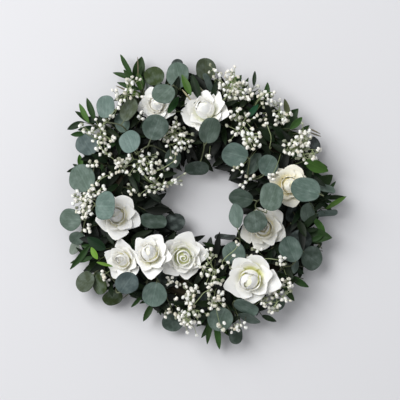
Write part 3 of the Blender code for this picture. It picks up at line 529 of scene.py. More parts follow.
@dataclass(frozen=True)
class Finish:
    """A natural surface: its own tint for each leaf, mottled, veined, streaked and slightly uneven.

    The tint comes with the mesh. Mottle and grain are noise on the object's own place, in patches of
    patch and grain millimetres. Veins follow the leaf's own map: a midrib up its middle and side veins
    that leave it slantwise. Streaks run the length of the map. Midrib, veins, streaks and rim say how
    much lighter or darker each makes the tint.
    """

    name: str
    roughness: float = 0.6
    roughness_play: float = 0.08
    specular: float = 0.5
    patch: float = 9.0
    mottle: float = 0.12
    powder: float = 0.0
    powder_colour: tuple = (0.3, 0.36, 0.34, 1.0)
    powder_from: tuple = (0.42, 0.72)
    midrib: float = 0.0
    midrib_edges: tuple = (0.006, 0.03)
    midrib_groove: float = 0.5
    veins: float = 0.0
    vein_count: float = 8.0
    vein_slant: float = 0.9
    vein_width: float = 0.12
    vein_groove: float = 0.3
    streaks: float = 0.0
    streak_count: float = 26.0
    rim: float = 0.0
    rim_from: tuple = (0.46, 0.5)
    grain: float = 0.5
    grain_height: float = 0.3
    bump: float = 0.15
    relief: float = 0.0004
    subsurface: float = 0.0
    depth: float = 0.002
    sheen: float = 0.0

    def lines(self, graph: Graph, off_middle: object, along: object) -> Iterator:
        """The midrib and the side veins.

        Args:
            graph: the material's nodes.
            off_middle: the distance from the map's middle line.
            along: the place along the map.

        Yields:
            A value that is one on the line and nought beside it, how much lighter it is, and its depth.
        """
        if self.midrib:
            yield graph.spread(off_middle, 1.0, 0.0, *self.midrib_edges), self.midrib, self.midrib_groove
        if self.veins:
            lag = graph.times(off_middle, self.vein_count * self.vein_slant)
            wave = graph.maths("PINGPONG", graph.minus(graph.times(along, self.vein_count), lag), 0.5)
            yield graph.spread(wave, 1.0, 0.0, 0.0, self.vein_width), self.veins, self.vein_groove

    def make(self) -> bpy.types.Material:
        """Builds the material.

        Returns:
            The material.
        """
        graph = Graph(self.name)
        place = graph.put("TexCoord", {}).outputs["Object"]
        own_map = graph.put("SeparateXYZ", {0: graph.put("UVMap", {}, uv_map="own_map").outputs[0]})
        sideways, along = own_map.outputs[0], own_map.outputs[1]
        off_middle = graph.maths("ABSOLUTE", graph.minus(sideways, 0.5))
        colour = graph.put("Attribute", {}, attribute_name="tint").outputs["Color"]
        patches = graph.noise(place, 1 / (self.patch * MM), 4.0)
        grain = graph.noise(place, 1 / (self.grain * MM), 2.0)
        gain = graph.times(
            graph.spread(patches, 1 - self.mottle, 1 + self.mottle),
            graph.spread(grain, 1 - self.mottle / 2, 1 + self.mottle / 2),
        )
        height = graph.spread(grain, 0.0, self.grain_height)
        if self.powder:
            share = graph.spread(patches, 0.0, self.powder, *self.powder_from)
            colour = graph.mixed(share, colour, self.powder_colour)
        for line, lighter, groove in self.lines(graph, off_middle, along):
            gain = graph.times(gain, graph.spread(line, 1.0, 1 + lighter))
            height = graph.minus(height, graph.times(line, groove))
        if self.streaks:
            stretched = graph.put("CombineXYZ", {0: graph.times(sideways, self.streak_count), 1: along})
            fibre = graph.noise(stretched.outputs[0], 1.0, 3.0)
            gain = graph.times(gain, graph.spread(fibre, 1 - self.streaks, 1 + self.streaks))
            height = graph.maths("ADD", height, graph.spread(fibre, 0.0, 1.0))
        if self.rim:
            edge = graph.spread(off_middle, 0.0, 1.0, *self.rim_from)
            gain = graph.times(gain, graph.spread(edge, 1.0, 1 - self.rim))
        graph.wire(graph.tinted(colour, gain), "Base Color")
        rough = (self.roughness - self.roughness_play, self.roughness + self.roughness_play)
        graph.wire(graph.spread(patches, *rough), "Roughness")
        bump = graph.put("Bump", {"Height": height, "Strength": self.bump, "Distance": self.relief})
        graph.wire(bump.outputs[0], "Normal")
        for socket, value in {
            "Specular IOR Level": self.specular, "Subsurface Weight": self.subsurface,
            "Subsurface Radius": (1.0, 0.9, 0.7), "Subsurface Scale": self.depth, "Sheen Weight": self.sheen,
        }.items():
            graph.shader.inputs[socket].default_value = value
        return graph.material


EUCALYPTUS_FINISH = Finish(
    "eucalyptus_leaf", roughness=0.66, specular=0.25, patch=12, mottle=0.18, powder=0.24, midrib=0.28,
    veins=0.14, streaks=0.34, streak_count=18, rim=0.3, bump=0.4, relief=0.0005,
)
STEM_FINISH = Finish("leafy_stem", roughness=0.6, patch=6, mottle=0.18, streaks=0.15, streak_count=8, bump=0.3)
POINTED_FINISH = Finish(
    "pointed_leaf", roughness=0.5, specular=0.2, patch=10, mottle=0.18, midrib=0.4, veins=0.12,
    vein_count=12, bump=0.35, relief=0.0005,
)
PETAL_FINISH = Finish(
    "rose_petal", roughness=0.62, specular=0.3, patch=12, mottle=0.03, streaks=0.025, streak_count=40,
    bump=0.2, relief=0.0004, subsurface=0.3, depth=0.004, sheen=0.15,
)
FLORET_FINISH = Finish(
    "babys_breath", roughness=0.8, specular=0.2, patch=2.2, mottle=0.16, grain=0.9, bump=0.9,
    relief=0.0009, subsurface=0.08,
)
VINE_FINISH = Finish(
    "vine_bark", roughness=0.82, specular=0.25, patch=7, mottle=0.3, streaks=0.35, streak_count=9,
    bump=0.8, relief=0.001,
)


class Piece:
    """A mesh in the making, with the finishes that its surfaces take."""

    def __init__(self, name: str, *finishes: bpy.types.Material) -> None:
        """Starts an empty mesh."""
        self.name = name
        self.finishes = finishes
        self.surfaces: list[Surface] = []
        self.slots: list[int] = []

    def add(self, surface: Surface, slot: int = 0) -> None:
        """Adds a closed surface in one of the finishes."""
        self.surfaces.append(surface)
        self.slots.append(slot)

    def finish(self, slot: str, *replaced: str) -> None:
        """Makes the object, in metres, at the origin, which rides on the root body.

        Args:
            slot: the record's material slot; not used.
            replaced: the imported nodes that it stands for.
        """
        starts = np.cumsum([0] + [len(surface.points) for surface in self.surfaces])
        points = np.vstack([surface.points for surface in self.surfaces]) * MM
        faces = np.vstack([s.triangles + start for s, start in zip(self.surfaces, starts)]).astype(np.int32)
        tints = np.vstack([surface.tints for surface in self.surfaces])
        maps = np.vstack([surface.maps for surface in self.surfaces])
        mesh = bpy.data.meshes.new(self.name)
        mesh.vertices.add(len(points))
        mesh.vertices.foreach_set("co", points.ravel())
        mesh.loops.add(faces.size)
        mesh.loops.foreach_set("vertex_index", faces.ravel())
        mesh.polygons.add(len(faces))
        mesh.polygons.foreach_set("loop_start", np.arange(0, faces.size, 3, dtype=np.int32))
        slots = np.repeat(self.slots, [len(surface.triangles) for surface in self.surfaces])
        mesh.polygons.foreach_set("material_index", slots.astype(np.int32))
        mesh.update(calc_edges=True)
        mesh.polygons.foreach_set("use_smooth", np.ones(len(faces), bool))
        mesh.set_sharp_from_angle(angle=CREASE_ANGLE)
        tint = mesh.attributes.new("tint", "FLOAT_COLOR", "POINT")
        tint.data.foreach_set("color", np.hstack([tints, np.ones((len(tints), 1))]).astype(np.float32).ravel())
        layer = mesh.uv_layers.new(name="own_map")
        layer.data.foreach_set("uv", maps[faces.ravel()].astype(np.float32).ravel())
        for material in self.finishes:
            mesh.materials.append(material)
        made = bpy.data.objects.new(self.name, mesh)
        bpy.context.scene.collection.objects.link(made)
        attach(made, "root")
        if replaced:
            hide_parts(*replaced)
        low, high = points.min(axis=0) / MM, points.max(axis=0) / MM
        log.info("%s: %d triangles, box %s to %s", self.name, len(faces), low.round(), high.round())


def stream(node: str, use: str) -> random.Random:
    """The random stream for one use in one node."""
    return random.Random(f"{SEED} {node} {use}")


def scatter(draw: random.Random, play: float) -> np.ndarray:
    """A random shift of up to the play along each of x, y and z."""
    return np.array([draw.uniform(-1, 1) * play for _ in range(3)])


def ring_tree() -> BVHTree:
    """The ring without its sockets, for finding where a stem leaves it.

    Its section at each step is a ten-sided star, turned on evenly as the ring goes round.

    Returns:
        The search tree.
    """
    columns = 2 * VINE_STRANDS
    turn = 2 * np.pi * np.arange(RING_STEPS)[:, None] / RING_STEPS
    column = np.arange(columns)[None]
    angle = 2 * np.pi * column / columns - VINE_TURNS * turn
    section = np.where(column % 2 == 0, RING_SECTION + VINE_RELIEF, RING_SECTION - VINE_RELIEF)
    distance = RING_RADIUS + section * np.cos(angle)
    height = np.maximum(0.0, RING_AXIS_HEIGHT + section * np.sin(angle))
    points = np.stack([distance * np.cos(turn), distance * np.sin(turn), height], -1).reshape(-1, 3)
    index = np.arange(len(points)).reshape(RING_STEPS, columns)
    after, beside = np.roll(index, -1, axis=0), np.roll(index, -1, axis=1)
    corner = np.roll(after, -1, axis=1)
    faces = np.vstack([
        np.stack([index, after, corner], -1).reshape(-1, 3), np.stack([index, corner, beside], -1).reshape(-1, 3)
    ])
    return BVHTree.FromPolygons(points.tolist(), faces.tolist())


def socket_on_ring(ring: BVHTree, azimuth: float, elevation: float, lean: float) -> Socket:
    """Where a stem leaves the ring.

    Args:
        ring: the ring's search tree.
        azimuth: the angle round the wreath, in degrees.
        elevation: the angle round the ring's section, which is kept off its underside.
        lean: how far the stem leans along the ring.

    Returns:
        The socket.
    """
    radial = compass(azimuth)
    tangent = np.array([-radial[1], radial[0], 0.0])
    turn = math.radians(min(max(elevation, LOWEST_SOCKET), HIGHEST_SOCKET))
    axis = radial * math.cos(turn) + UP * math.sin(turn)
    centre = radial * RING_RADIUS + UP * RING_AXIS_HEIGHT
    hit, _, _, _ = ring.ray_cast(Vector(centre + axis * RAY_START), Vector(-axis))
    return Socket(np.array(hit), unit(axis + lean * tangent))


def angles_from_ring(point: np.ndarray) -> tuple[float, float]:
    """The azimuth and the angle round the ring's section of a point near it."""
    azimuth = math.degrees(math.atan2(point[1], point[0]))
    outward = math.hypot(point[0], point[1]) - RING_RADIUS
    return azimuth, math.degrees(math.atan2(point[2] - RING_AXIS_HEIGHT, outward))


def stem_tries(ring: BVHTree, node: str, targets: Sequence[np.ndarray], reach: float, knee_play: float) -> Iterator:
    """The ways for a stem past the targets, in the order in which the solids' maker tries them.

    Args:
        ring: the ring's search tree.
        node: the node whose stem it is.
        targets: the points that it passes.
        reach: how far the ways spread.
        knee_play: how far a target may shift.

    Yields:
        The socket and the path outside it.
    """
    draw = stream(node, "stem")
    azimuth, elevation = angles_from_ring(targets[0])
    elevation = min(max(elevation, LOWEST_SOCKET + SOCKET_MARGIN), HIGHEST_SOCKET - SOCKET_MARGIN)
    for attempt in range(STEM_TRIES):
        play = min(1.0, attempt / FULL_PLAY_AFTER) * reach
        turn = azimuth + draw.uniform(-1, 1) * AZIMUTH_NEAR + draw.uniform(-1, 1) * AZIMUTH_PLAY * play
        rise = elevation + draw.uniform(-1, 1) * ELEVATION_PLAY * play
        lean = draw.uniform(-SOCKET_LEAN, SOCKET_LEAN)
        socket = socket_on_ring(ring, turn, rise, lean)
        knees = [point + scatter(draw, knee_play * play) for point in targets]
        leave = socket.surface + socket.axis * STRAIGHT_RUN
        bow = (leave + knees[0]) / 2 + socket.axis * np.linalg.norm(knees[0] - leave) * BOW
        yield socket, np.array([leave, bow + scatter(draw, BOW_PLAY * play), *knees])


def stem_of(
    solid: Solid, ring: BVHTree, node: str, targets: Sequence[np.ndarray], reach: float = 1.0,
    knee_play: float = KNEE_PLAY,
) -> np.ndarray:
    """The path of a node's stem, from the bottom of its socket: the try that lies nearest to the solid.

    Args:
        solid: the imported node.
        ring: the ring's search tree.
        node: its name.
        targets: the points that the stem passes.
        reach: how far the ways spread.
        knee_play: how far a target may shift.

    Returns:
        The path.
    """
    best, chosen = math.inf, None
    for socket, path in stem_tries(ring, node, targets, reach, knee_play):
        start = socket.surface - socket.axis * SOCKET_DEPTH
        miss = 10 * solid.gap(start)
        if miss < best:
            miss += sum(max(0.0, solid.gap(point) - ROSE_STEM_RADIUS) for point in path)
        if miss < best:
            best, chosen = miss, np.vstack([start, path])
    if best > 1.0:
        log.warning("%s: its stem is %.2f mm off the solid", node, best)
    return chosen


def nearest_on(path: np.ndarray, point: np.ndarray) -> np.ndarray:
    """The place on a path that is nearest to the point, run by run as a foot of a perpendicular."""
    runs = np.diff(path, axis=0)
    share = np.clip(((point - path[:-1]) * runs).sum(1) / ((runs**2).sum(1) + TINY), 0, 1)
    feet = path[:-1] + runs * share[:, None]
    return feet[np.linalg.norm(feet - point, axis=1).argmin()]


@dataclass(frozen=True)
class Workshop:
    """What every piece is built with: the ring's search tree, the space that is taken and the materials."""

    ring: BVHTree
    room: Room
    finishes: dict


def along_path(path: np.ndarray, share: float) -> tuple[np.ndarray, np.ndarray]:
    """The point at a share of the path's runs, and the run that it lies on."""
    place = share * (len(path) - 1)
    low = min(int(place), len(path) - 2)
    run = path[low + 1] - path[low]
    return path[low] + run * (place - low), run


def rolled(draw: random.Random, heading: np.ndarray, play: float) -> np.ndarray:
    """The normal of a blade along the heading that faces up but for a small random roll."""
    roll = np.array([draw.uniform(-play, play), draw.uniform(-play, play), 1.0])
    return unit(roll - heading * (roll @ heading))


def warmed(tint: Sequence[float], draw: random.Random, play: float = 0.08) -> np.ndarray:
    """The tint a little lighter or darker, and a little warmer or cooler, than it was."""
    shift = draw.uniform(-play, play)
    warm = draw.uniform(-play, play) / 2
    return np.clip(np.asarray(tint) * (1 + shift) * np.array([1 + warm, 1.0, 1 - warm]), 0, 1)


@dataclass
class EucalyptusStem:
    """A stem of round grey-green leaves."""

    number: int
    leaves: tuple
    thickness: float = 0.55
    outline: float = 0.985
    wave: float = 0.03
    fold: float = 0.07
    stalk: float = 0.95
    rows: int = 15
    columns: int = 9

    @staticmethod
    def frame_of(leaf: Leaf) -> np.ndarray:
        """The normal of a leaf that looks long by short from above, tipped away from the band's middle."""
        long_side = compass(leaf.slant)
        tilt = math.acos(leaf.short / leaf.long)
        sideways = np.array([-long_side[1], long_side[0], 0.0])
        place = np.array([leaf.x, leaf.y, 0.0])
        outward = sideways @ place * (math.hypot(leaf.x, leaf.y) - RING_RADIUS * 0.8)
        sign = 1.0 if outward > 0 else -1.0
        return sideways * sign * math.sin(tilt) + UP * math.cos(tilt)

    def place_of(self, solid: Solid, leaf: Leaf) -> Optional[tuple]:
        """Where a leaf lies: of the lifts that the solids' maker tries, the one whose rim is on the solid.

        Args:
            solid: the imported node.
            leaf: the leaf before any lift.

        Returns:
            Its middle, normal, heading and size, or None where the solid has no such leaf.
        """
        normal = self.frame_of(leaf)
        level = compass(leaf.foot + 180)
        heading = unit(level - normal * (level @ normal))
        side = np.cross(normal, heading)
        turns = 2 * np.pi * np.array([0, 1, 2, 3, 5, 6, 7]) / 8
        rim = (np.outer(np.cos(turns), heading) + np.outer(np.sin(turns), side)) * leaf.long / 2
        found = []
        for count in range(int(LIFT_REACH / LIFT_STEP) + 1):
            for lift in {count * LIFT_STEP, -count * LIFT_STEP}:
                middle = np.array([leaf.x, leaf.y, leaf.z + lift])
                gaps = sorted(solid.gap(point) for point in middle + rim)
                found.append((gaps[3], abs(lift), lift, middle))
        best = min(found, key=lambda entry: entry[:3])
        return (best[3], normal, heading, leaf.long) if best[0] < SAME_PLACE else None

    def blade(self, place: tuple, tint: np.ndarray, draw: random.Random) -> Surface:
        """A round leaf as a shallow dish.

        A row at share v of the length lies at minus the cosine of pi v radii along the heading, and is as
        wide there as a circle. The dish sinks as the square of the distance from its middle, folds up
        slightly beside the midrib, and its rim rises and falls as a sine of three turns.

        Args:
            place: middle, normal, heading and size.
            tint: its colour.
            draw: the random stream.

        Returns:
            The closed leaf.
        """
        middle, normal, heading, size = place
        side = np.cross(normal, heading)
        radius = size / 2 * self.outline
        v = np.linspace(0.03, 0.97, self.rows)[:, None]
        u = np.linspace(-1, 1, self.columns)[None]
        reach = -np.cos(np.pi * v) * radius
        half = np.sin(np.pi * v) ** 0.94 * radius
        lean, phase = draw.uniform(-0.06, 0.02), draw.uniform(0, 2 * np.pi)
        edge = 1 + lean * np.cos(np.pi * v) - 0.03 - 0.03 * np.cos(4 * np.pi * v + np.sign(u) * 1.5 + phase)
        out = half * u * edge
        distance = np.sqrt(out**2 + reach**2) / radius
        turn = np.arctan2(out, reach)
        height = -LEAF_CUP * size * (1 - distance**2) + self.wave * size * np.sin(3 * turn + phase) * distance**3
        height = height + self.fold * size * 0.5 * np.abs(u) * (1 - distance**4)
        grid = middle + reach[..., None] * heading + out[..., None] * side + height[..., None] * normal
        rows, columns = distance.shape
        fade = (1.0 + 0.06 * (distance - 0.5)).reshape(-1, 1)
        grey = float(tint.mean())
        under = np.clip(tint * 0.85 + grey * 0.3, 0, 1)
        return shell(grid, self.thickness, tint[None] * fade, spread_tint(under, rows * columns))

    def build(self, shop: Workshop) -> None:
        """Makes the stem, its leaf stalks and its leaves.

        Args:
            shop: the ring, the space that is taken and the materials.
        """
        node = f"eucalyptus_{self.number}"
        solid = Solid(node)
        piece = Piece(f"eucalyptus_stem_{self.number}", shop.finishes["eucalyptus"], shop.finishes["stem"])
        places = [self.place_of(solid, leaf) for leaf in self.leaves]
        targets = [
            middle - heading * (size / 2 + STALK_LENGTH) - normal * STALK_DROP
            for middle, normal, heading, size in filter(None, places)
        ]
        path = smoothed(stem_of(solid, shop.ring, node, targets))
        draw = stream(node, "looks")
        bark = linear(72, 78, 52)
        green = linear(100, 108, 78)
        piece.add(tube(path, (STEM_RADIUS * 0.95, STEM_RADIUS * STEM_TAPER), bark, 8), 1)
        for leaf, place in zip(self.leaves, places):
            if place is None:
                log.warning("%s: leaf at %d, %d isn't in the solid", node, leaf.x, leaf.y)
                continue
            middle, normal, heading, size = place
            tint = warmed(linear(*leaf.tone.value), draw)
            piece.add(self.blade(place, tint, draw))
            foot = middle - heading * size / 2 * 0.9 - normal * 0.4
            knee = nearest_on(path, foot - heading * STALK_LENGTH)
            bend = foot - heading * 2.5 - normal * 0.8
            piece.add(tube(smoothed(np.array([foot, bend, knee])), (self.stalk * 0.7, self.stalk), green, 6), 1)
        piece.finish("eucalyptus_leaf", node)


@dataclass(frozen=True)
class Blade:
    """A pointed leaf, folded up along its midrib and drooping to its tip."""

    length: float
    width: float
    rows: int = 9
    columns: int = 5
    thickness: float = 0.5
    fullness: float = POINTED_FULLNESS
    twist: float = 0.0

    def surface(self, base: np.ndarray, normal: np.ndarray, heading: np.ndarray, tint: np.ndarray) -> Surface:
        """The leaf as a folded sheet.

        At share s of the length it is as wide as s to the power 0.8 times (1 - s) to the power 0.9. It
        sinks as the square of s, and its sides rise beside the midrib in proportion to their distance.

        Args:
            base: where it leaves its stem.
            normal: the side that looks up.
            heading: from base to tip.
            tint: its colour.

        Returns:
            The closed leaf.
        """
        side = np.cross(normal, heading)
        share = (1 - np.cos(np.pi * np.linspace(0.03, 0.985, self.rows))) / 2
        half = self.fullness * self.width * share**0.8 * (1 - share) ** 0.9 + 0.25
        u = np.linspace(-1, 1, self.columns)
        out = half[:, None] * u
        curl = self.twist * share[:, None] * out
        rise = np.abs(out) * POINTED_FOLD * 2 + curl - (share**2)[:, None] * POINTED_DROOP * self.length
        grid = base + (share * self.length)[:, None, None] * heading + out[..., None] * side
        grid = grid + rise[..., None] * normal
        fade = (0.9 + 0.2 * np.abs(u) * np.ones_like(out)).reshape(-1, 1)
        under = np.clip(tint * 0.8 + 0.02, 0, 1)
        return shell(grid, self.thickness, tint[None] * fade, under)


@dataclass
class PointedSprig:
    """A stem of dark pointed leaves, by turns left and right of it."""

    number: int
    tip: tuple
    leaves: int
    length: float
    width: float
    tint: tuple = (36, 60, 27)
    young: tuple = (70, 100, 38)
    young_share: float = 0.2

    def tries(self, draw: random.Random, path: np.ndarray, number: int) -> Iterator:
        """The places for one leaf, in the order in which the solids' maker tries them.

        Args:
            draw: the stream of this node's leaves.
            path: the stem's path outside its socket.
            number: which leaf.

        Yields:
            The base, normal, heading and size share.
        """
        knee, run = along_path(path, 1 - POINTED_SHARE * number / self.leaves)
        level = math.degrees(math.atan2(run[1], run[0]))
        spread = 0 if number == 0 else (POINTED_SPREAD if number % 2 else -POINTED_SPREAD)
        for attempt in range(POINTED_TRIES):
            play = attempt / POINTED_TRIES
            turn = draw.uniform(-POINTED_TURN_PLAY, POINTED_TURN_PLAY) * play
            climb = draw.uniform(*POINTED_CLIMB) + draw.uniform(*POINTED_CLIMB_PLAY) * play
            heading = unit(compass(level + spread + turn) + UP * climb)
            normal = rolled(draw, heading, POINTED_ROLL)
            size = draw.uniform(*POINTED_SIZES) * (1 - POINTED_SHRINK * play)
            yield knee - heading * ROOT_SINK, normal, heading, size

    def low_tries(self, draw: random.Random, path: np.ndarray) -> Iterator:
        """The places for the broad low leaf, in the order in which the solids' maker tries them.

        Args:
            draw: the stream of this node's low leaf.
            path: the stem's path outside its socket.

        Yields:
            The base, normal, heading and size share.
        """
        for attempt in range(LOW_TRIES):
            play = attempt / LOW_TRIES
            knee, _ = along_path(path, draw.uniform(*LOW_SHARES))
            azimuth, _ = angles_from_ring(knee)
            turn = draw.uniform(-LOW_TURN_PLAY, LOW_TURN_PLAY)
            heading = unit(compass(azimuth + turn) + UP * draw.uniform(*LOW_CLIMB))
            normal = rolled(draw, heading, POINTED_ROLL)
            yield knee - heading * ROOT_SINK, normal, heading, 1 - POINTED_SHRINK * play

    @staticmethod
    def marks(place: tuple, length: float, width: float, rows: Sequence[float]) -> np.ndarray:
        """The tip and the two corners of each side row of the solids' leaf, which lie on its rim.

        Args:
            place: base, normal, heading and size share.
            length: of a leaf of share one.
            width: of that leaf, before its shape narrows it.
            rows: the shares of its length at which the rows lie.

        Returns:
            The points.
        """
        base, normal, heading, size = place
        side = np.cross(normal, heading)
        share = np.array([*rows, 1.0])
        half = POINTED_FULLNESS * width * size * share**0.8 * (1 - share) ** 0.9
        spine = base + np.outer(share, heading) * length * size
        spine = spine - np.outer(share**2, normal) * POINTED_DROOP * length * size
        rise = np.outer(half, normal) * POINTED_FOLD * 2
        left, right = spine + np.outer(half, side) + rise, spine - np.outer(half, side) + rise
        return np.vstack([left[:-1], right[:-1], spine[-1:]])

    def build(self, shop: Workshop) -> None:
        """Makes the stem and its leaves.

        Args:
            shop: the ring, the space that is taken and the materials.
        """
        node = f"pointed_leaves_{self.number}"
        solid = Solid(node)
        tip = np.array(self.tip, float)
        azimuth, _ = angles_from_ring(tip)
        foot = compass(azimuth) * RING_RADIUS + UP * (RING_AXIS_HEIGHT + POINTED_FOOT_RISE)
        end = tip - unit(tip - foot) * self.length * POINTED_SHARE
        knee = foot * (1 - POINTED_KNEE_SHARE) + end * POINTED_KNEE_SHARE
        path = stem_of(solid, shop.ring, node, [knee, end])
        piece = Piece(f"pointed_sprig_{self.number}", shop.finishes["pointed"], shop.finishes["stem"])
        piece.add(tube(smoothed(path), (STEM_RADIUS * 0.9, STEM_RADIUS * 0.5), linear(70, 78, 48), 8), 1)
        draw = stream(node, "leaves")
        looks = stream(node, "looks")
        found = 0
        for number in range(self.leaves):
            for place in self.tries(draw, path[1:], number):
                if not solid.holds(self.marks(place, self.length, self.width, (0.25, 0.75))):
                    continue
                base, normal, heading, size = place
                young = looks.random() < self.young_share
                tint = warmed(linear(*(self.young if young else self.tint)), looks, 0.25)
                blade = Blade(self.length * size, self.width * size, twist=looks.uniform(-0.15, 0.15))
                piece.add(blade.surface(base, normal, heading, tint))
                found += 1
                break
        for place in self.low_tries(stream(node, "low leaf"), path[1:]):
            if solid.holds(self.marks(place, LOW_LENGTH, LOW_WIDTH, (0.5,))):
                base, normal, heading, size = place
                blade = Blade(LOW_LENGTH * size, LOW_WIDTH * size, rows=13, columns=7)
                piece.add(blade.surface(base, normal, heading, warmed(linear(*self.tint), looks, 0.15)))
                break
        else:
            log.warning("%s: its low leaf isn't in the solid", node)
        log.info("%s: %d of %d leaves found", node, found, self.leaves)
        piece.finish("pointed_leaf", node)


class Whorl(NamedTuple):
    """A round of petals, drawn for a bloom of radius 34: (distance, height) at root, waist and lip."""

    petals: int
    half_width: float
    root: tuple
    waist: tuple
    lip: tuple
    turn: float
    curl: float
    tip: float


@dataclass
class Rose:
    """A white rose: a bloom of petals tucked under one another, and its green stem with the calyx."""

    number: int
    middle: tuple
    radius: float
    lean: float
    toward: float
    heart: Heart
    depth: tuple
    side: float
    aside: float = 4.0
    cream: tuple = (254, 253, 248)
    thickness: float = 0.55
    green: tuple = (100, 122, 66)
    rows: int = 11
    columns: int = 11

    def whorls(self) -> list[Whorl]:
        """The rounds of petals, from the heart outwards."""
        turn = WHORL_TURN
        waist, lip, next_waist, next_lip = self.heart.value
        return [
            Whorl(2, 95, (7, 13), waist, lip, 0.0, 0.4, 1.5),
            Whorl(3, 62, (8, 9), next_waist, next_lip, turn, 4.0, 3.0),
            Whorl(5, 40, (7, 8), (23, 14), (25.0, 30.5), 2 * turn + 0.1, 5.5, 4.5),
            Whorl(5, 43, (6, 5), (25, 9), (32.0, 24.0), 2 * turn, 6.5, 6.5),
        ]

    def petal(self, whorl: Whorl, turn: float, spread: float, draw: random.Random) -> np.ndarray:
        """One petal in the bloom's own frame, as distance, angle and height for each point of a grid.

        A column rises along a curve from root past waist to lip, and is cut short towards the petal's
        sides. Near the lip it curls outwards to a soft corner. One side of the petal lies further out
        than the other, so that it is tucked under its neighbour.

        Args:
            whorl: the round that it belongs to.
            turn: its direction, in radians.
            spread: how far it opens, as a share.
            draw: the random stream.

        Returns:
            The grid of (distance, angle, height).
        """
        v = np.linspace(0, 1, self.rows)[:, None]
        u = np.linspace(-1, 1, self.columns)[None]
        opens = whorl.lip[0] > BLOOM_MIDDLE
        rise = v * (1 - (draw.uniform(0.16, 0.26) if opens else 0.18) * np.abs(u) ** 2.2)
        root, waist, lip = (np.array(pair, float) for pair in (whorl.root, whorl.waist, whorl.lip))
        waist[0] *= spread
        lip[0] *= spread
        if whorl.petals > 2:
            lip += (draw.uniform(-1.3, 1.5), draw.uniform(-2.2, 1.2))
        curve = [(1 - rise) ** 2 * a + 2 * rise * (1 - rise) * b + rise**2 * c for a, b, c in zip(root, waist, lip)]
        bend = np.clip((rise - 0.6) / 0.4, 0, 1) ** 2
        curl = whorl.curl * draw.uniform(0.55, 1.3)
        corner = draw.uniform(-0.35, 0.35)
        point = np.exp(-(((u - corner) / 0.34) ** 2)) * np.clip((rise - 0.72) / 0.28, 0, 1) ** 2
        point = point * draw.uniform(0.6, 1.4)
        distance = curve[0] + bend * curl * (0.6 + 0.4 * np.abs(u)) + point * whorl.tip * (0.8 if opens else 0.2)
        height = curve[1] - bend * curl * (0.5 + 0.7 * u**2) + point * whorl.tip * (0.1 if opens else 0.8)
        phase = draw.uniform(0, 2 * np.pi)
        ruffle = 1.0 * np.sin(4.5 * u + phase) * rise**4
        distance = distance * (1 + 0.08 * u) + ruffle
        height = height + ruffle * 0.6
        width = np.interp(rise, [0, 0.35, 0.75, 1], [0.35, 0.85, 1.0, 0.86])
        angle = turn + math.radians(whorl.half_width) * width * u
        return np.stack([distance, angle, height], -1)

    def spiral(self) -> np.ndarray:
        """The heart, one long petal rolled up, as distance, angle and height on a grid.

        Returns:
            The grid: its distance grows evenly with its turn, and above its waist it closes to the middle.
        """
        tight = self.heart is Heart.SWIRL
        turns, inner, outer, top, close = TIGHT_ROLL if tight else LOOSE_ROLL
        share = np.linspace(0, 1, 56)[None]
        rise = np.linspace(0, 1, 9)[:, None]
        distance = (inner + (outer - inner) * share) * (0.72 + 0.28 * np.sin(rise * np.pi * 0.62))
        distance = distance * (1 - close * np.clip((rise - 0.45) / 0.55, 0, 1) ** 2) + 0.5 * rise**6
        angle = 2 * np.pi * turns * share + 0 * rise
        distance = distance * (1 - ROLL_OVAL * np.cos(angle) ** 2) * (1 + 0.07 * np.sin(3 * angle + 1) * rise)
        height = 9 + (top - 9 - 3.4 * share + 0.9 * np.sin(angle * 1.5)) * rise
        return np.stack([distance, angle, height], -1)

    def found_spread(self, solid: Solid, whorl: int, count: int, places: tuple) -> float:
        """How far the solids' petal is drawn in: the first spread whose lip lies on the solid.

        Args:
            solid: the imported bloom.
            whorl: which of the solids' three rounds.
            count: which petal.
            places: the bloom's origin, axis and scale.

        Returns:
            The spread, or nought where the petal was left out.
        """
        origin, axis, scale = places
        first, second = across(axis)
        petals, half_width, distance, height, tip = SOLID_WHORLS[whorl]
        width = LIP_CORNER if whorl == 2 else 1.0
        turn = 2 * math.pi * (count / petals + whorl * WHORL_TURN) + math.radians(self.toward)
        opens = distance > BLOOM_MIDDLE
        for spread in PETAL_SPREADS:
            marks = []
            for side in (-1, 0, 1):
                angle = turn + math.radians(half_width) * side * width
                point = tip if side == 0 else 0.0
                out = (distance * spread + point * opens - LIP_SINK * abs(side)) * scale
                up = (height + point * (not opens)) * scale
                arm = first * math.cos(angle) + second * math.sin(angle)
                marks.append(origin + arm * out + axis * up)
            if sorted(solid.gap(mark) for mark in marks)[1] < SAME_PLACE * 4:
                return spread
        return 0.0

    def build(self, shop: Workshop) -> None:
        """Makes the bloom, and the stem with the calyx.

        Args:
            shop: the ring, the space that is taken and the materials.
        """
        scale = self.radius / BLOOM_RADIUS
        lean = math.radians(self.lean)
        axis = compass(self.toward) * math.sin(lean) + UP * math.cos(lean)
        places = np.array(self.middle, float) - axis * BLOOM_MIDDLE * scale, axis, scale
        self.bloom(shop, places)
        self.stem(shop, places)

    def laid(self, grid: np.ndarray, places: tuple, drift: np.ndarray) -> Surface:
        """The shell of a petal's grid, paler towards its lip, whose top drifts aside with the heart.

        Args:
            grid: distance, angle and height for each point.
            places: the bloom's origin, axis and scale.
            drift: how far the top drifts.

        Returns:
            The closed petal.
        """
        origin, axis, scale = places
        first, second = across(axis)
        distance, angle, height = grid[..., 0:1], grid[..., 1:2], grid[..., 2:3]
        points = origin + (first * np.cos(angle) + second * np.sin(angle)) * distance * scale
        points = points + (axis * height + drift * np.clip((height - 13) / 22, 0, 1)) * scale
        share = np.linspace(0, 1, grid.shape[0])[:, None] * np.ones(grid.shape[1])
        pale = np.clip((share - 0.2) / 0.4, 0, 1).reshape(-1, 1)
        tint = linear(*self.depth) * (1 - pale) + linear(*self.cream) * pale
        return shell(points, self.thickness, tint, tint)

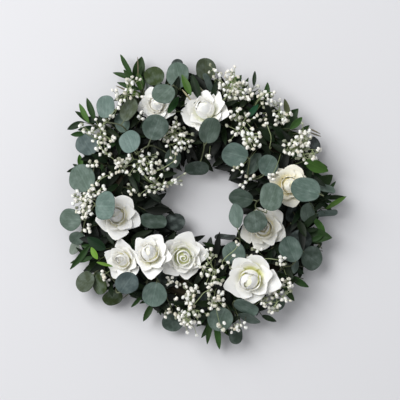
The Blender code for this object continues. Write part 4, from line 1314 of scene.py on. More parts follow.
    def bloom(self, shop: Workshop, places: tuple) -> None:
        """Makes the bloom: its core, its heart and its rounds of petals.

        Args:
            shop: the ring, the space that is taken and the materials.
            places: the bloom's origin, axis and scale.
        """
        node = f"rose_bloom_{self.number}"
        solid = Solid(node)
        origin, axis, scale = places
        draw = stream(node, "looks")
        piece = Piece(f"rose_{self.number}", shop.finishes["petal"])
        cream, deep = linear(*self.cream), linear(*self.depth)
        drift = compass(self.side)
        drift = unit(drift - axis * (drift @ axis)) * self.aside
        spreads = [
            [self.found_spread(solid, whorl, count, places) for count in range(petals)]
            for whorl, (petals, *_) in enumerate(SOLID_WHORLS)
        ]
        log.info("%s: spreads %s", node, spreads)
        core = np.array([origin + axis * height * scale for height, _ in CORE])
        piece.add(tube(core, np.array([radius for _, radius in CORE]) * scale, deep * 0.8, 14))
        if self.heart is Heart.BUD:
            dome = np.array(DOME)
            share = np.clip((dome[:, :1] - 13) / 22, 0, 1)
            tint = cream * 0.7 + deep * 0.3
            piece.add(tube(origin + (axis * dome[:, :1] + drift * share) * scale, dome[:, 1] * scale, tint, 18))
        else:
            piece.add(self.laid(self.spiral(), places, drift))
        for number, whorl in enumerate(self.whorls()):
            for count in range(whorl.petals):
                turn = 2 * math.pi * (count / whorl.petals + whorl.turn) + math.radians(self.toward)
                turn += draw.uniform(-0.07, 0.07)
                own = SOLID_ROUNDS.get(number)
                known = FREE_SPREAD if own is None else spreads[own][count]
                if own == 2 and known == 0.0:
                    continue
                state = draw.getstate()
                for spread in PETAL_SPREADS:
                    if spread > (known or 1.0):
                        continue
                    draw.setstate(state)
                    grid = self.petal(whorl, turn, spread, draw)
                    petal = self.laid(grid, places, drift * DRIFT_SHARES[number])
                    if shop.room.clear(node, petal):
                        break
                piece.add(petal)
        piece.finish("rose_petal", node)

    def stem(self, shop: Workshop, places: tuple) -> None:
        """Makes the stem with the calyx.

        Args:
            shop: the ring, the space that is taken and the materials.
            places: the bloom's origin, axis and scale.
        """
        node = f"rose_stem_{self.number}"
        origin, axis, scale = places
        seat = origin - axis * SEAT_GAP
        depth = CALYX_DEPTH * scale
        targets = [seat - axis * share * depth for share in ROSE_KNEES]
        path = stem_of(Solid(node), shop.ring, node, targets, knee_play=ROSE_KNEE_PLAY)
        piece = Piece(f"rose_stalk_{self.number}", shop.finishes["stem"])
        green = linear(*self.green)
        piece.add(tube(smoothed(path), (ROSE_STEM_RADIUS, ROSE_STEM_RADIUS * STEM_TAPER), green, 8))
        cup = np.array([seat - axis * depth * (1 - share) for share in (0, 0.25, 0.6, 1)])
        piece.add(tube(cup, np.array([2.6, 4.2, 5.4, 5.9]) * np.array([1, scale, scale, scale]), green, 10))
        piece.finish("rose_stem", node)


@dataclass
class Spray:
    """A spray of baby's breath: a pale forking stem with clusters of small crumpled white florets."""

    number: int
    middle: tuple
    spread: float
    rise: float
    cluster: int = 5
    radius: float = 2.9
    reach: float = 15.0
    bright: tuple = ((248, 247, 240), (248, 247, 240), (248, 247, 240), (226, 223, 208))
    # Painted shade: greyer tints for florets that sit low in their cluster, below the white ones
    painted_shade_tints: tuple = ((216, 217, 204), (184, 186, 168), (154, 158, 136))
    stalk: tuple = (156, 168, 124)

    def tries(self, draw: random.Random, path: np.ndarray, number: int) -> Iterator:
        """The places for one floret, in the order in which the solids' maker tries them.

        Args:
            draw: the stream of this node's florets.
            path: the stem's path outside its socket.
            number: which floret.

        Yields:
            Where its stalk leaves the stem, and its middle.
        """
        middle = np.array(self.middle, float)
        first, spread = FLORET_KNEES
        knee = path[-2] + (path[-1] - path[-2]) * (first + spread * number / FLORETS)
        for _ in range(FLORET_TRIES):
            turn = 2 * math.pi * (number * GOLDEN_TURN + draw.uniform(-FLORET_TURN_PLAY, FLORET_TURN_PLAY))
            reach = self.spread * math.sqrt((number + 1) / FLORETS) * draw.uniform(*FLORET_REACH)
            rise = self.rise * draw.uniform(*FLORET_RISE)
            yield knee, middle + np.array([math.cos(turn) * reach, math.sin(turn) * reach, rise])

    def build(self, shop: Workshop) -> None:
        """Makes the stem, and a cluster of florets at each floret of the solid.

        Args:
            shop: the ring, the space that is taken and the materials.
        """
        node = f"babys_breath_{self.number}"
        solid = Solid(node)
        middle = np.array(self.middle, float)
        under = middle - UP * SPRAY_STEM_LENGTH
        path = stem_of(solid, shop.ring, node, [under, middle], SPRAY_STEM_REACH)
        piece = Piece(f"gypsophila_{self.number}", shop.finishes["floret"], shop.finishes["stem"])
        green = linear(*self.stalk)
        piece.add(tube(smoothed(path), (STEM_RADIUS * 0.85, STEM_RADIUS * 0.5), green, 7), 1)
        draw = stream(node, "florets")
        looks = stream(node, "looks")
        found = 0
        for number in range(FLORETS):
            for knee, place in self.tries(draw, path[1:], number):
                axis = unit(place - knee)
                first, second = across(axis)
                ring_points = [
                    place + FLORET_RADIUS * (first * math.cos(turn) + second * math.sin(turn))
                    for turn in (0, 2 * math.pi / 3, 4 * math.pi / 3)
                ]
                if not solid.holds([place + axis * FLORET_RADIUS * 0.9, *ring_points]):
                    continue
                self.cluster_at(piece, shop.room, node, knee, place, looks)
                found += 1
                break
        log.info("%s: %d of %d florets found", node, found, FLORETS)
        piece.finish("babys_breath", node)

    def trial(self, spot: np.ndarray) -> Surface:
        """A floret a little larger than those that are made, to try a spot with."""
        return ball(spot, self.radius * TRIAL_SIZE, (0, 0, 0, 0), (1, 1, 1))

    def cluster_at(
        self, piece: Piece, room: Room, node: str, knee: np.ndarray, place: np.ndarray, draw: random.Random
    ) -> None:
        """Adds a stalk to the place of one floret, and round it a few florets on forks of the stalk.

        Args:
            piece: what they are added to.
            room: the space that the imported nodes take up.
            node: the node that they belong to.
            knee: where the stalk leaves the stem.
            place: the middle of the solid's floret.
            draw: the random stream.
        """
        green = linear(*self.stalk)
        fork = knee * 0.35 + place * 0.65
        bow = (knee + fork) / 2 + scatter(draw, 1.0)
        piece.add(tube(smoothed(np.array([knee, bow, fork])), (0.6, 0.5), green, 5), 1)
        spots = [place]
        for _ in range(self.cluster * 8):
            if len(spots) == self.cluster + draw.choice((0, 0, 1)):
                break
            spot = place + scatter(draw, self.reach)
            apart = min(np.linalg.norm(spot - other) for other in spots)
            if apart < self.radius * 1.9 or spot[2] < 5 or reach_at(spot[None])[0] < -10:
                continue
            if self.number and room.under(spot, "eucalyptus", "rose_bloom"):
                continue
            if room.clear(node, self.trial(spot)):
                spots.append(spot)
        for spot in spots:
            size = self.radius * draw.uniform(0.8, 1.12)
            waves = [draw.uniform(0, 2 * math.pi) for _ in range(4)]
            # Painted shade: a floret well below its cluster's middle takes one of the shaded tints
            shades = self.painted_shade_tints if spot[2] < place[2] - self.reach * 0.3 else self.bright
            floret = ball(spot, size, waves, warmed(linear(*draw.choice(shades)), draw, 0.05))
            piece.add(floret)
            room.clear(node, floret, keep=True)
            bow = (fork + spot) / 2 + scatter(draw, 1.2)
            piece.add(tube(np.array([fork, bow, spot]), (0.42, 0.36), green, 4), 1)


@dataclass
class VineRing:
    """The ring of twisted vines under the foliage, flat where it rests."""

    vines: int = 15
    vine_radius: float = 4.3
    winding: float = 15.5
    steps: int = 110
    core: float = 14.5

    def build(self, shop: Workshop) -> None:
        """Makes the vines round a core.

        A vine's middle goes round the ring's section two or three times on its way round the wreath, and
        strays from its circle as a sine. What would be below the floor is pressed flat.

        Args:
            shop: the ring, the space that is taken and the materials.
        """
        piece = Piece("vine_ring", shop.finishes["vine"])
        draw = stream("vine_base", "looks")
        turn = np.linspace(0, 2 * np.pi, self.steps + 1)
        for number in range(self.vines + 1):
            vine = number < self.vines
            turns = draw.choice((2, 2, 3)) if vine else 0
            angle = 2 * np.pi * number / self.vines - turns * turn
            stray = draw.uniform(0.4, 1.2) * np.sin(draw.choice((3, 5, 7)) * turn + draw.uniform(0, 6))
            reach = (self.winding + stray) if vine else 0 * turn
            radius = draw.uniform(0.85, 1.15) * self.vine_radius if vine else self.core
            distance = RING_RADIUS + reach * np.cos(angle)
            height = RING_AXIS_HEIGHT + reach * np.sin(angle)
            path = np.stack([distance * np.cos(turn), distance * np.sin(turn), height], -1)
            radii = radius * (1 + 0.12 * np.sin(11 * turn + number))
            # Painted shade: the bark's own brown darkened nearly to black, as the ring lies deep under the foliage
            tint = warmed(linear(46, 42, 30), draw, 0.25)
            made = tube(path[:-1], radii[:-1], tint, 7 if vine else 10)
            made.points[:, 2] = np.maximum(made.points[:, 2], 0.0)
            piece.add(self.closed(made, 7 if vine else 10))
        piece.finish("vine", "vine_base")

    def closed(self, made: Surface, sides: int) -> Surface:
        """Joins the ends of a tube that goes all the way round, in place of its caps."""
        caps = 2 * (sides - 2)
        last = (self.steps - 1) * sides
        first = np.arange(sides)
        # The tube's circle has turned on its way round, so each point is joined to the nearest one
        shift = int(np.linalg.norm(made.points[:sides] - made.points[last], axis=1).argmin())
        index = np.stack([last + first, (first + shift) % sides])
        after = np.stack([last + (first + 1) % sides, (first + shift + 1) % sides])
        return made._replace(triangles=np.vstack([made.triangles[:-caps], strips(index, after)]))


def reach_at(points: np.ndarray) -> np.ndarray:
    """How far each point lies within the foliage's outline, which varies with its angle round the wreath."""
    azimuth = np.degrees(np.arctan2(points[:, 1], points[:, 0])) % 360
    return np.interp(azimuth, np.arange(len(OUTLINE)) * OUTLINE_STEP, OUTLINE) - np.hypot(points[:, 0], points[:, 1])


def from_picture(column: float, row: float, height: float) -> np.ndarray:
    """The place over a pixel of the 400 by 400 picture, at a height."""
    return np.array([(column - PICTURE_MIDDLE[0]) * MM_PER_PIXEL, (PICTURE_MIDDLE[1] - row) * MM_PER_PIXEL, height])


def stalk_to(shop: Workshop, end: np.ndarray, draw: random.Random) -> Optional[np.ndarray]:
    """A thin stalk's way from the ring to a point.

    Args:
        shop: the ring, the space that is taken and the materials.
        end: where it ends.
        draw: the random stream.

    Returns:
        The path, or None where each way that was tried crosses something.
    """
    azimuth, elevation = angles_from_ring(end)
    for attempt in range(STALK_TRIES):
        play = attempt / STALK_TRIES
        rise = elevation + draw.uniform(-60, 60) * play
        turn = azimuth + draw.uniform(-18, 18) * play
        socket = socket_on_ring(shop.ring, turn, rise, draw.uniform(-0.5, 0.5))
        leave = socket.surface + socket.axis * THIN_ROOT
        bow = (leave + end) / 2 + socket.axis * np.linalg.norm(end - leave) * 0.15 + scatter(draw, 14 * play)
        if shop.room.clear("vine_base", tube(smoothed(np.array([leave, bow, end]), 1), (0.7, 0.6), (1, 1, 1), 4)):
            return np.array([socket.surface - socket.axis * THIN_ROOT, leave, bow, end])
    return None


@dataclass
class EdgeLeaves:
    """Single pointed leaves that stand out between the sprigs, each on a stalk from the ring."""

    rows: tuple
    tries: int = 40
    step: float = 0.8
    lowest: float = 8.0
    slope: float = 6.0
    twist: float = 0.15

    def build(self, shop: Workshop) -> None:
        """Lays each leaf from its root to its tip, at the first height where it is clear.

        Args:
            shop: the ring, the space that is taken and the materials.
        """
        piece = Piece("edge_leaves", shop.finishes["pointed"], shop.finishes["stem"])
        draw = stream("edge_leaves", "places")
        laid = sum(self.lay(piece, shop, row, draw) for row in self.rows)
        log.info("edge leaves: %d of %d laid", laid, len(self.rows))
        piece.finish("pointed_leaf")

    def lay(self, piece: Piece, shop: Workshop, row: tuple, draw: random.Random) -> bool:
        """Lays one leaf.

        Args:
            piece: what it is added to.
            shop: the ring, the space that is taken and the materials.
            row: root and tip in the picture, height, width and tint.
            draw: the random stream.

        Returns:
            Whether it was laid.
        """
        root_column, root_row, tip_column, tip_row, level, width, tint = row
        for attempt in range(self.tries):
            height = max(self.lowest, level + (1 if attempt % 2 else -1) * attempt * self.step)
            root, tip = from_picture(root_column, root_row, height), from_picture(tip_column, tip_row, height)
            run = tip - root + UP * draw.uniform(-self.slope, self.slope)
            heading = unit(run)
            normal = rolled(draw, heading, POINTED_ROLL)
            blade = Blade(np.linalg.norm(run), width, twist=draw.uniform(-self.twist, self.twist))
            leaf = blade.surface(root, normal, heading, warmed(linear(*tint), draw, 0.15))
            if not shop.room.clear("edge_leaves_own", leaf):
                continue
            way = stalk_to(shop, root + heading * 0.5, draw)
            if way is None:
                continue
            shop.room.clear("edge_leaves_own", leaf, keep=True)
            piece.add(leaf)
            piece.add(tube(smoothed(way), (0.9, 0.5), linear(74, 84, 50), 6), 1)
            return True
        return False


@dataclass
class LooseSprays:
    """Small tufts of baby's breath between the sprays, each on a stalk from the ring."""

    rows: tuple
    lifts: tuple = (0, 4, -4, 8, -8, 12, 16)
    tint: tuple = (124, 136, 94)
    fork: float = 7.0

    def build(self, shop: Workshop) -> None:
        """Grows each tuft at the first height where its first floret is clear.

        Args:
            shop: the ring, the space that is taken and the materials.
        """
        piece = Piece("loose_florets", shop.finishes["floret"], shop.finishes["stem"])
        draw = stream("loose_florets", "places")
        grown = 0
        for column, row, height, florets, reach in self.rows:
            spray = Spray(0, (0, 0, 0), 0, 0, cluster=florets, reach=reach, stalk=self.tint)
            for lift in self.lifts:
                place = from_picture(column, row, height + lift)
                if not shop.room.clear("loose_florets", spray.trial(place)):
                    continue
                way = stalk_to(shop, place - UP * self.fork, draw)
                if way is None:
                    continue
                piece.add(tube(smoothed(way), (0.7, 0.45), linear(*spray.stalk), 6), 1)
                spray.cluster_at(piece, shop.room, "loose_florets", way[-1], place, draw)
                grown += 1
                break
        log.info("loose sprays: %d of %d grown", grown, len(self.rows))
        piece.finish("babys_breath")


@dataclass
class TrailingStems:
    """Thin pale stems of baby's breath that bend over the other sprigs, each with florets at its end."""

    rows: tuple
    tint: tuple = (150, 162, 118)
    lifts: tuple = (0, 4, -4, 8, 12, 16, -8, 20)
    reach: float = 6.0

    def build(self, shop: Workshop) -> None:
        """Lays each stem at the first height where it touches nothing.

        Args:
            shop: the ring, the space that is taken and the materials.
        """
        piece = Piece("trailing_stems", shop.finishes["floret"], shop.finishes["stem"])
        draw = stream("trailing_stems", "places")
        laid = 0
        for florets, *marks in self.rows:
            spray = Spray(0, (0, 0, 0), 0, 0, cluster=florets, reach=self.reach, stalk=self.tint)
            for lift in self.lifts:
                run = np.array([from_picture(column, row, height + lift) for column, row, height in marks])
                if not shop.room.clear("trailing_stems", tube(smoothed(run), (0.9, 0.9), (1, 1, 1))):
                    continue
                way = stalk_to(shop, run[0], draw)
                if way is None:
                    continue
                path = smoothed(np.vstack([way, run[1:]]))
                piece.add(tube(path, (0.85, 0.5), linear(*self.tint), 6), 1)
                if florets:
                    spray.cluster_at(piece, shop.room, "trailing_stems", path[-2], path[-1], draw)
                laid += 1
                break
        log.info("trailing stems: %d of %d laid", laid, len(self.rows))
        piece.finish("babys_breath")


@dataclass
class UnderLeaves:
    """The dark pointed leaves that fill the wreath between and under the other sprigs.

    Share is how much of a stem carries leaves. Each play is how far a value varies from sprig to sprig,
    and turn and climb_play say how much more it may vary from one try for a leaf to the next.
    """

    rings: tuple = (
        # how many sprigs, angle round the section, how far they reach, how much they rise, leaves each
        (32, 8, 38, 0.02, 7),
        (32, 40, 42, 0.2, 7),
        (36, 62, 30, 0.15, 7),
        (36, 82, 30, 0.1, 7),
        (36, 100, 30, 0.1, 7),
        (30, 128, 36, 0.2, 7),
        (26, 165, 34, 0.1, 7),
    )
    length: tuple = (36.0, 52.0)
    width: tuple = (13.0, 19.0)
    groups: int = 6
    # The leaves are dark green of their own; dark is a near-black tint painted as the deep shade inside the wreath,
    # and lit is a lighter painted copy of the same green
    dark: tuple = (6, 12, 6)
    lit: tuple = (20, 37, 14)
    highest: float = 82.0
    share: float = 0.75
    spread: float = 44.0
    roll: float = 0.4
    tries: int = 14
    azimuth_play: float = 0.4
    section_play: float = 10.0
    lean_play: float = 0.8
    side_play: tuple = (0.2, 0.9)
    rise_play: tuple = (-0.1, 0.15)
    reach_play: tuple = (0.75, 1.15)
    climb: tuple = (-0.25, 0.35)
    climb_play: tuple = (-0.7, 0.9)
    turn: tuple = (28.0, 60.0)
    lowest: float = 1.5

    def inside(self, points: np.ndarray) -> bool:
        """Whether the points stay in the wreath's band, off the floor and clear of its hole."""
        if reach_at(points).min() < 0 or points[:, 2].min() < self.lowest or points[:, 2].max() > self.highest:
            return False
        level = points[:, :2]
        for left, low, right, high in HOLE:
            above = level > np.array([left, low]) - HOLE_MARGIN
            below = level < np.array([right, high]) + HOLE_MARGIN
            if np.any(np.all(above & below, axis=1)):
                return False
        return True

    def build(self, shop: Workshop) -> None:
        """Makes the sprigs, in groups round the wreath.

        Args:
            shop: the ring, the space that is taken and the materials.
        """
        pieces = [
            Piece(f"dark_leaves_{group + 1}", shop.finishes["pointed"], shop.finishes["stem"])
            for group in range(self.groups)
        ]
        draw = stream("dark_leaves", "places")
        laid = 0
        for count, section, reach, rise, leaves in self.rings:
            for number in range(count):
                azimuth = 360 * (number + draw.uniform(-self.azimuth_play, self.azimuth_play)) / count
                elevation = section + draw.uniform(-self.section_play, self.section_play)
                lean = draw.uniform(-self.lean_play, self.lean_play)
                socket = socket_on_ring(shop.ring, azimuth, elevation, lean)
                radial = compass(azimuth)
                away = radial * (1 if section < 90 else -1) * (0.35 if 60 < section < 120 else 1.0)
                tangent = np.array([-radial[1], radial[0], 0.0]) * draw.choice((-1, 1)) * draw.uniform(*self.side_play)
                heading = unit(away + tangent + UP * (rise + draw.uniform(*self.rise_play)))
                long = reach * draw.uniform(*self.reach_play)
                start, bend = socket.surface - socket.axis * THIN_ROOT, socket.surface + socket.axis * 5
                leave = socket.surface + socket.axis * 8
                path = np.array([start, bend, leave + heading * long * 0.5, leave + heading * long])
                piece = pieces[int((azimuth % 360) / 360 * self.groups) % self.groups]
                hung = self.hang(piece, shop.room, path, leaves, draw)
                if hung:
                    piece.add(tube(smoothed(path), (1.2, 0.7), linear(62, 66, 42), 5), 1)
                laid += hung
        log.info("dark leaves: %d laid", laid)
        for piece in pieces:
            piece.finish("pointed_leaf")

    def hang(self, piece: Piece, room: Room, path: np.ndarray, leaves: int, draw: random.Random) -> int:
        """Hangs leaves on one sprig, by turns left and right, each where it crosses nothing.

        Args:
            piece: what they are added to.
            room: the space that is taken.
            path: the sprig's stem.
            leaves: how many are tried.
            draw: the random stream.

        Returns:
            How many were hung.
        """
        hung = 0
        for number in range(leaves):
            knee, run = along_path(path, 1 - self.share * number / leaves)
            level = math.degrees(math.atan2(run[1], run[0]))
            spread = 0 if number == 0 else (self.spread if number % 2 else -self.spread)
            for attempt in range(self.tries):
                play = attempt / self.tries
                climb = draw.uniform(*self.climb) + draw.uniform(*self.climb_play) * play
                turn = draw.uniform(-1, 1) * (self.turn[0] + self.turn[1] * play)
                heading = unit(compass(level + spread + turn) + UP * climb)
                normal = rolled(draw, heading, self.roll)
                size = 1 - 0.25 * play
                blade = Blade(draw.uniform(*self.length) * size, draw.uniform(*self.width) * size, 6, 3)
                # Painted light and shade: the first try takes the shaded tint, and each later try takes more of the
                # lit one
                tint = linear(*self.dark) * (1 - play) + linear(*self.lit) * play
                leaf = blade.surface(knee - heading * 0.3, normal, heading, warmed(tint, draw, 0.3))
                if self.inside(leaf.points) and room.clear(f"dark leaf {len(room.trees)}", leaf, keep=True):
                    piece.add(leaf)
                    hung += 1
                    break
        return hung


@dataclass
class Studio:
    """The pale floor, the soft light from the upper left, and the camera straight above."""

    middle: tuple = (-0.0064, 0.0032)
    focus_height: float = 0.05
    distance: float = 3.0
    span: float = 0.64

    def build(self) -> None:
        """Makes them."""
        self.floor()
        self.light("key_light", (-2.1, 1.6, 3.4), 2.8, 181.0)
        self.light("fill_light", (1.8, 0.6, 3.0), 2.4, 3.0)
        world = bpy.data.worlds.new("studio_air")
        world.use_nodes = True
        background = world.node_tree.nodes["Background"]
        background.inputs["Color"].default_value = (0.97, 0.98, 1.0, 1.0)
        background.inputs["Strength"].default_value = 0.4
        bpy.context.scene.world = world
        camera = bpy.data.cameras.new("front_view")
        camera.lens = camera.sensor_width * self.distance / self.span
        camera.clip_end = 20
        made = bpy.data.objects.new("front_view", camera)
        made.location = (*self.middle, self.focus_height + self.distance)
        bpy.context.scene.collection.objects.link(made)
        bpy.context.scene.camera = made
        bpy.context.scene.view_settings.view_transform = "Standard"

    def floor(self) -> None:
        """A wide pale sheet, very slightly mottled."""
        side = 6.0
        mesh = bpy.data.meshes.new("studio_floor")
        corners = [(-side, -side, 0), (side, -side, 0), (side, side, 0), (-side, side, 0)]
        mesh.from_pydata(corners, [], [(0, 1, 2, 3)])
        graph = Graph("plain_floor")
        place = graph.put("TexCoord", {}).outputs["Object"]
        gain = graph.spread(graph.noise(place, 3.0, 2.0), 0.99, 1.01)
        graph.wire(graph.tinted((0.71, 0.71, 0.73), gain), "Base Color")
        graph.shader.inputs["Roughness"].default_value = 0.9
        mesh.materials.append(graph.material)
        made = bpy.data.objects.new("studio_floor", mesh)
        bpy.context.scene.collection.objects.link(made)

    def light(self, name: str, place: tuple, size: float, power: float) -> None:
        """A soft square light that looks at the wreath."""
        lamp = bpy.data.lights.new(name, "AREA")
        lamp.size = size
        lamp.energy = power
        made = bpy.data.objects.new(name, lamp)
        made.location = place
        made.rotation_euler = (Vector((0, 0, 0.03)) - Vector(place)).to_track_quat("-Z", "Y").to_euler()
        bpy.context.scene.collection.objects.link(made)


T = Tone

EUCALYPTUS = (
    (
        Leaf(-92, 190, 30, 32, 6, 90, -80, T.PALE), Leaf(-80, 202, 38, 34, 32, 0, -70, T.OLIVE),
        Leaf(-43, 217, 32, 27, 22, 90, -90, T.DARK), Leaf(-42, 203, 50, 42, 38, 100, -80, T.SAGE),
        Leaf(-64, 171, 94, 38, 33, -15, 50, T.SAGE),
    ),
    (
        Leaf(7, 192, 50, 32, 12, 115, -65, T.SAGE), Leaf(3, 214, 38, 37, 34, 100, -90, T.MOSS),
    ),
    (
        Leaf(-131, 127, 50, 32, 26, 100, -60, T.SAGE), Leaf(-120, 147, 68, 40, 27, 65, -115, T.MOSS),
        Leaf(-157, 152, 60, 37, 32, 80, -85, T.LIGHT),
    ),
    (
        Leaf(-118, 96, 70, 38, 34, 60, -60, T.LIGHT), Leaf(-77, 118, 92, 43, 42, 0, -110, T.DEEP),
        Leaf(-50, 70, 48, 32, 26, 90, 150, T.SAGE),
    ),
    (
        Leaf(-187, 92, 50, 38, 36, 0, -60, T.BLUE), Leaf(-195, 38, 54, 46, 44, 60, -60, T.SAGE),
    ),
    (
        Leaf(9, 113, 90, 43, 34, 60, -95, T.SAGE), Leaf(-11, 54, 42, 40, 23, 0, 80, T.DEEP),
    ),
    (
        Leaf(102, 58, 66, 36, 33, 120, -120, T.SAGE), Leaf(79, 61, 54, 40, 20, 60, -110, T.DEEP),
        Leaf(49, 75, 76, 43, 38, 10, -20, T.SILVER),
    ),
    (
        Leaf(178, 93, 36, 26, 18, 110, -110, T.DARK), Leaf(196, 22, 40, 32, 14, -20, 165, T.SAGE),
        Leaf(160, 20, 94, 48, 41, -10, -20, T.SAGE),
    ),
    (
        Leaf(59, 6, 58, 40, 30, -10, -10, T.SAGE), Leaf(81, -31, 88, 40, 34, 20, 100, T.DEEP),
        Leaf(106, 8, 96, 46, 38, 100, -120, T.SAGE),
    ),
    (
        Leaf(142, -16, 36, 34, 22, 70, -80, T.DARK), Leaf(166, -17, 46, 33, 25, 75, -60, T.SAGE),
        Leaf(198, -18, 34, 35, 12, 5, 180, T.SAGE),
    ),
    (
        Leaf(122, -122, 38, 26, 22, 0, 90, T.DARK), Leaf(138, -75, 66, 43, 38, 120, -70, T.SAGE),
        Leaf(154, -61, 46, 38, 35, 0, -160, T.DARK), Leaf(173, -90, 36, 42, 35, 80, 150, T.DEEP),
        Leaf(146, -102, 50, 26, 12, 80, 100, T.SAGE),
    ),
    (
        Leaf(48, -82, 60, 39, 37, 0, -60, T.SAGE), Leaf(34, -56, 34, 35, 9, 0, -10, T.DARK),
        Leaf(51, -22, 72, 40, 22, 95, -90, T.LIGHT),
    ),
    (
        Leaf(0, -160, 42, 36, 32, 0, 60, T.DARK), Leaf(26, -187, 60, 42, 40, 0, 70, T.SAGE),
        Leaf(51, -214, 34, 30, 24, 100, 80, T.DEEP), Leaf(72, -187, 38, 40, 14, -20, 160, T.SAGE),
        Leaf(67, -168, 56, 42, 24, -25, 150, T.SAGE), Leaf(118, -165, 38, 26, 20, 20, 160, T.DEEP),
    ),
    (
        Leaf(-60, -123, 42, 34, 30, 0, 160, T.DARK), Leaf(-79, -147, 66, 42, 40, 0, 80, T.SILVER),
        Leaf(-51, -194, 30, 36, 30, 0, 90, T.DEEP),
    ),
    (
        Leaf(-122, -128, 84, 39, 36, 0, -120, T.BLUE), Leaf(-147, -154, 32, 34, 26, 10, 60, T.OLIVE),
        Leaf(-168, -130, 44, 38, 26, 100, 60, T.OLIVE), Leaf(-191, -128, 36, 36, 30, 70, 30, T.MOSS),
    ),
    (
        Leaf(-156, -6, 94, 48, 34, 80, 175, T.SILVER), Leaf(-214, -28, 48, 38, 35, 100, 0, T.SAGE),
        Leaf(-204, -58, 40, 26, 22, 0, 60, T.SAGE), Leaf(-209, -74, 28, 24, 16, 60, 70, T.PALE),
    ),
    (
        Leaf(-81, -30, 52, 44, 26, -10, 170, T.DEEP), Leaf(-47, -32, 34, 34, 30, 0, 160, T.DARK),
    ),
)

ROSES = (
    ((-77, 154, 58), 27, 15, 150, Heart.BUD, (244, 240, 224), 45, 6),
    ((2, 147, 68), 36, 30, 100, Heart.BUD, (240, 242, 216), 160, 3),
    ((-137, -22, 66), 31, 12, 20, Heart.BUD, (240, 236, 196), 170, 8),
    ((-130, -94, 60), 28, 22, 200, Heart.SWIRL, (240, 236, 202), 100, 4),
    ((-86, -83, 76), 32, 12, 100, Heart.BUD, (238, 234, 190), 130, 5),
    ((-33, -87, 60), 33, 10, -30, Heart.OPEN, (224, 229, 170), 240, 2),
    ((75, -122, 74), 37, 12, 240, Heart.BUD, (230, 230, 142), 220, 6),
    ((96, -43, 58), 33, 15, -60, Heart.SWIRL, (246, 238, 192), 130, 7, (254, 252, 243)),
    ((134, 28, 65), 31, 12, 100, Heart.BUD, (246, 234, 176), -30, 7, (253, 249, 232)),
)

SPRIGS = (
    ((-134, 235, 30), 6, 38, 11),
    ((-200, 142, 32), 6, 36, 12),
    ((-28, 196, 40), 5, 36, 15),
    ((70, 198, 32), 6, 34, 10),
    ((148, 134, 30), 6, 36, 12),
    ((184, 58, 36), 5, 38, 17),
    ((224, 8, 34), 6, 38, 10),
    ((184, -66, 28), 6, 36, 11),
    ((24, -232, 26), 6, 40, 12),
    ((-92, -184, 26), 6, 34, 10),
    ((-206, -96, 34), 6, 38, 12),
)

LEAF_GREEN = (38, 64, 27)
LEAF_DARK = (24, 41, 21)
LEAF_YOUNG = (70, 102, 38)
TWIG = (112, 104, 84)
WOOD = (172, 168, 138)

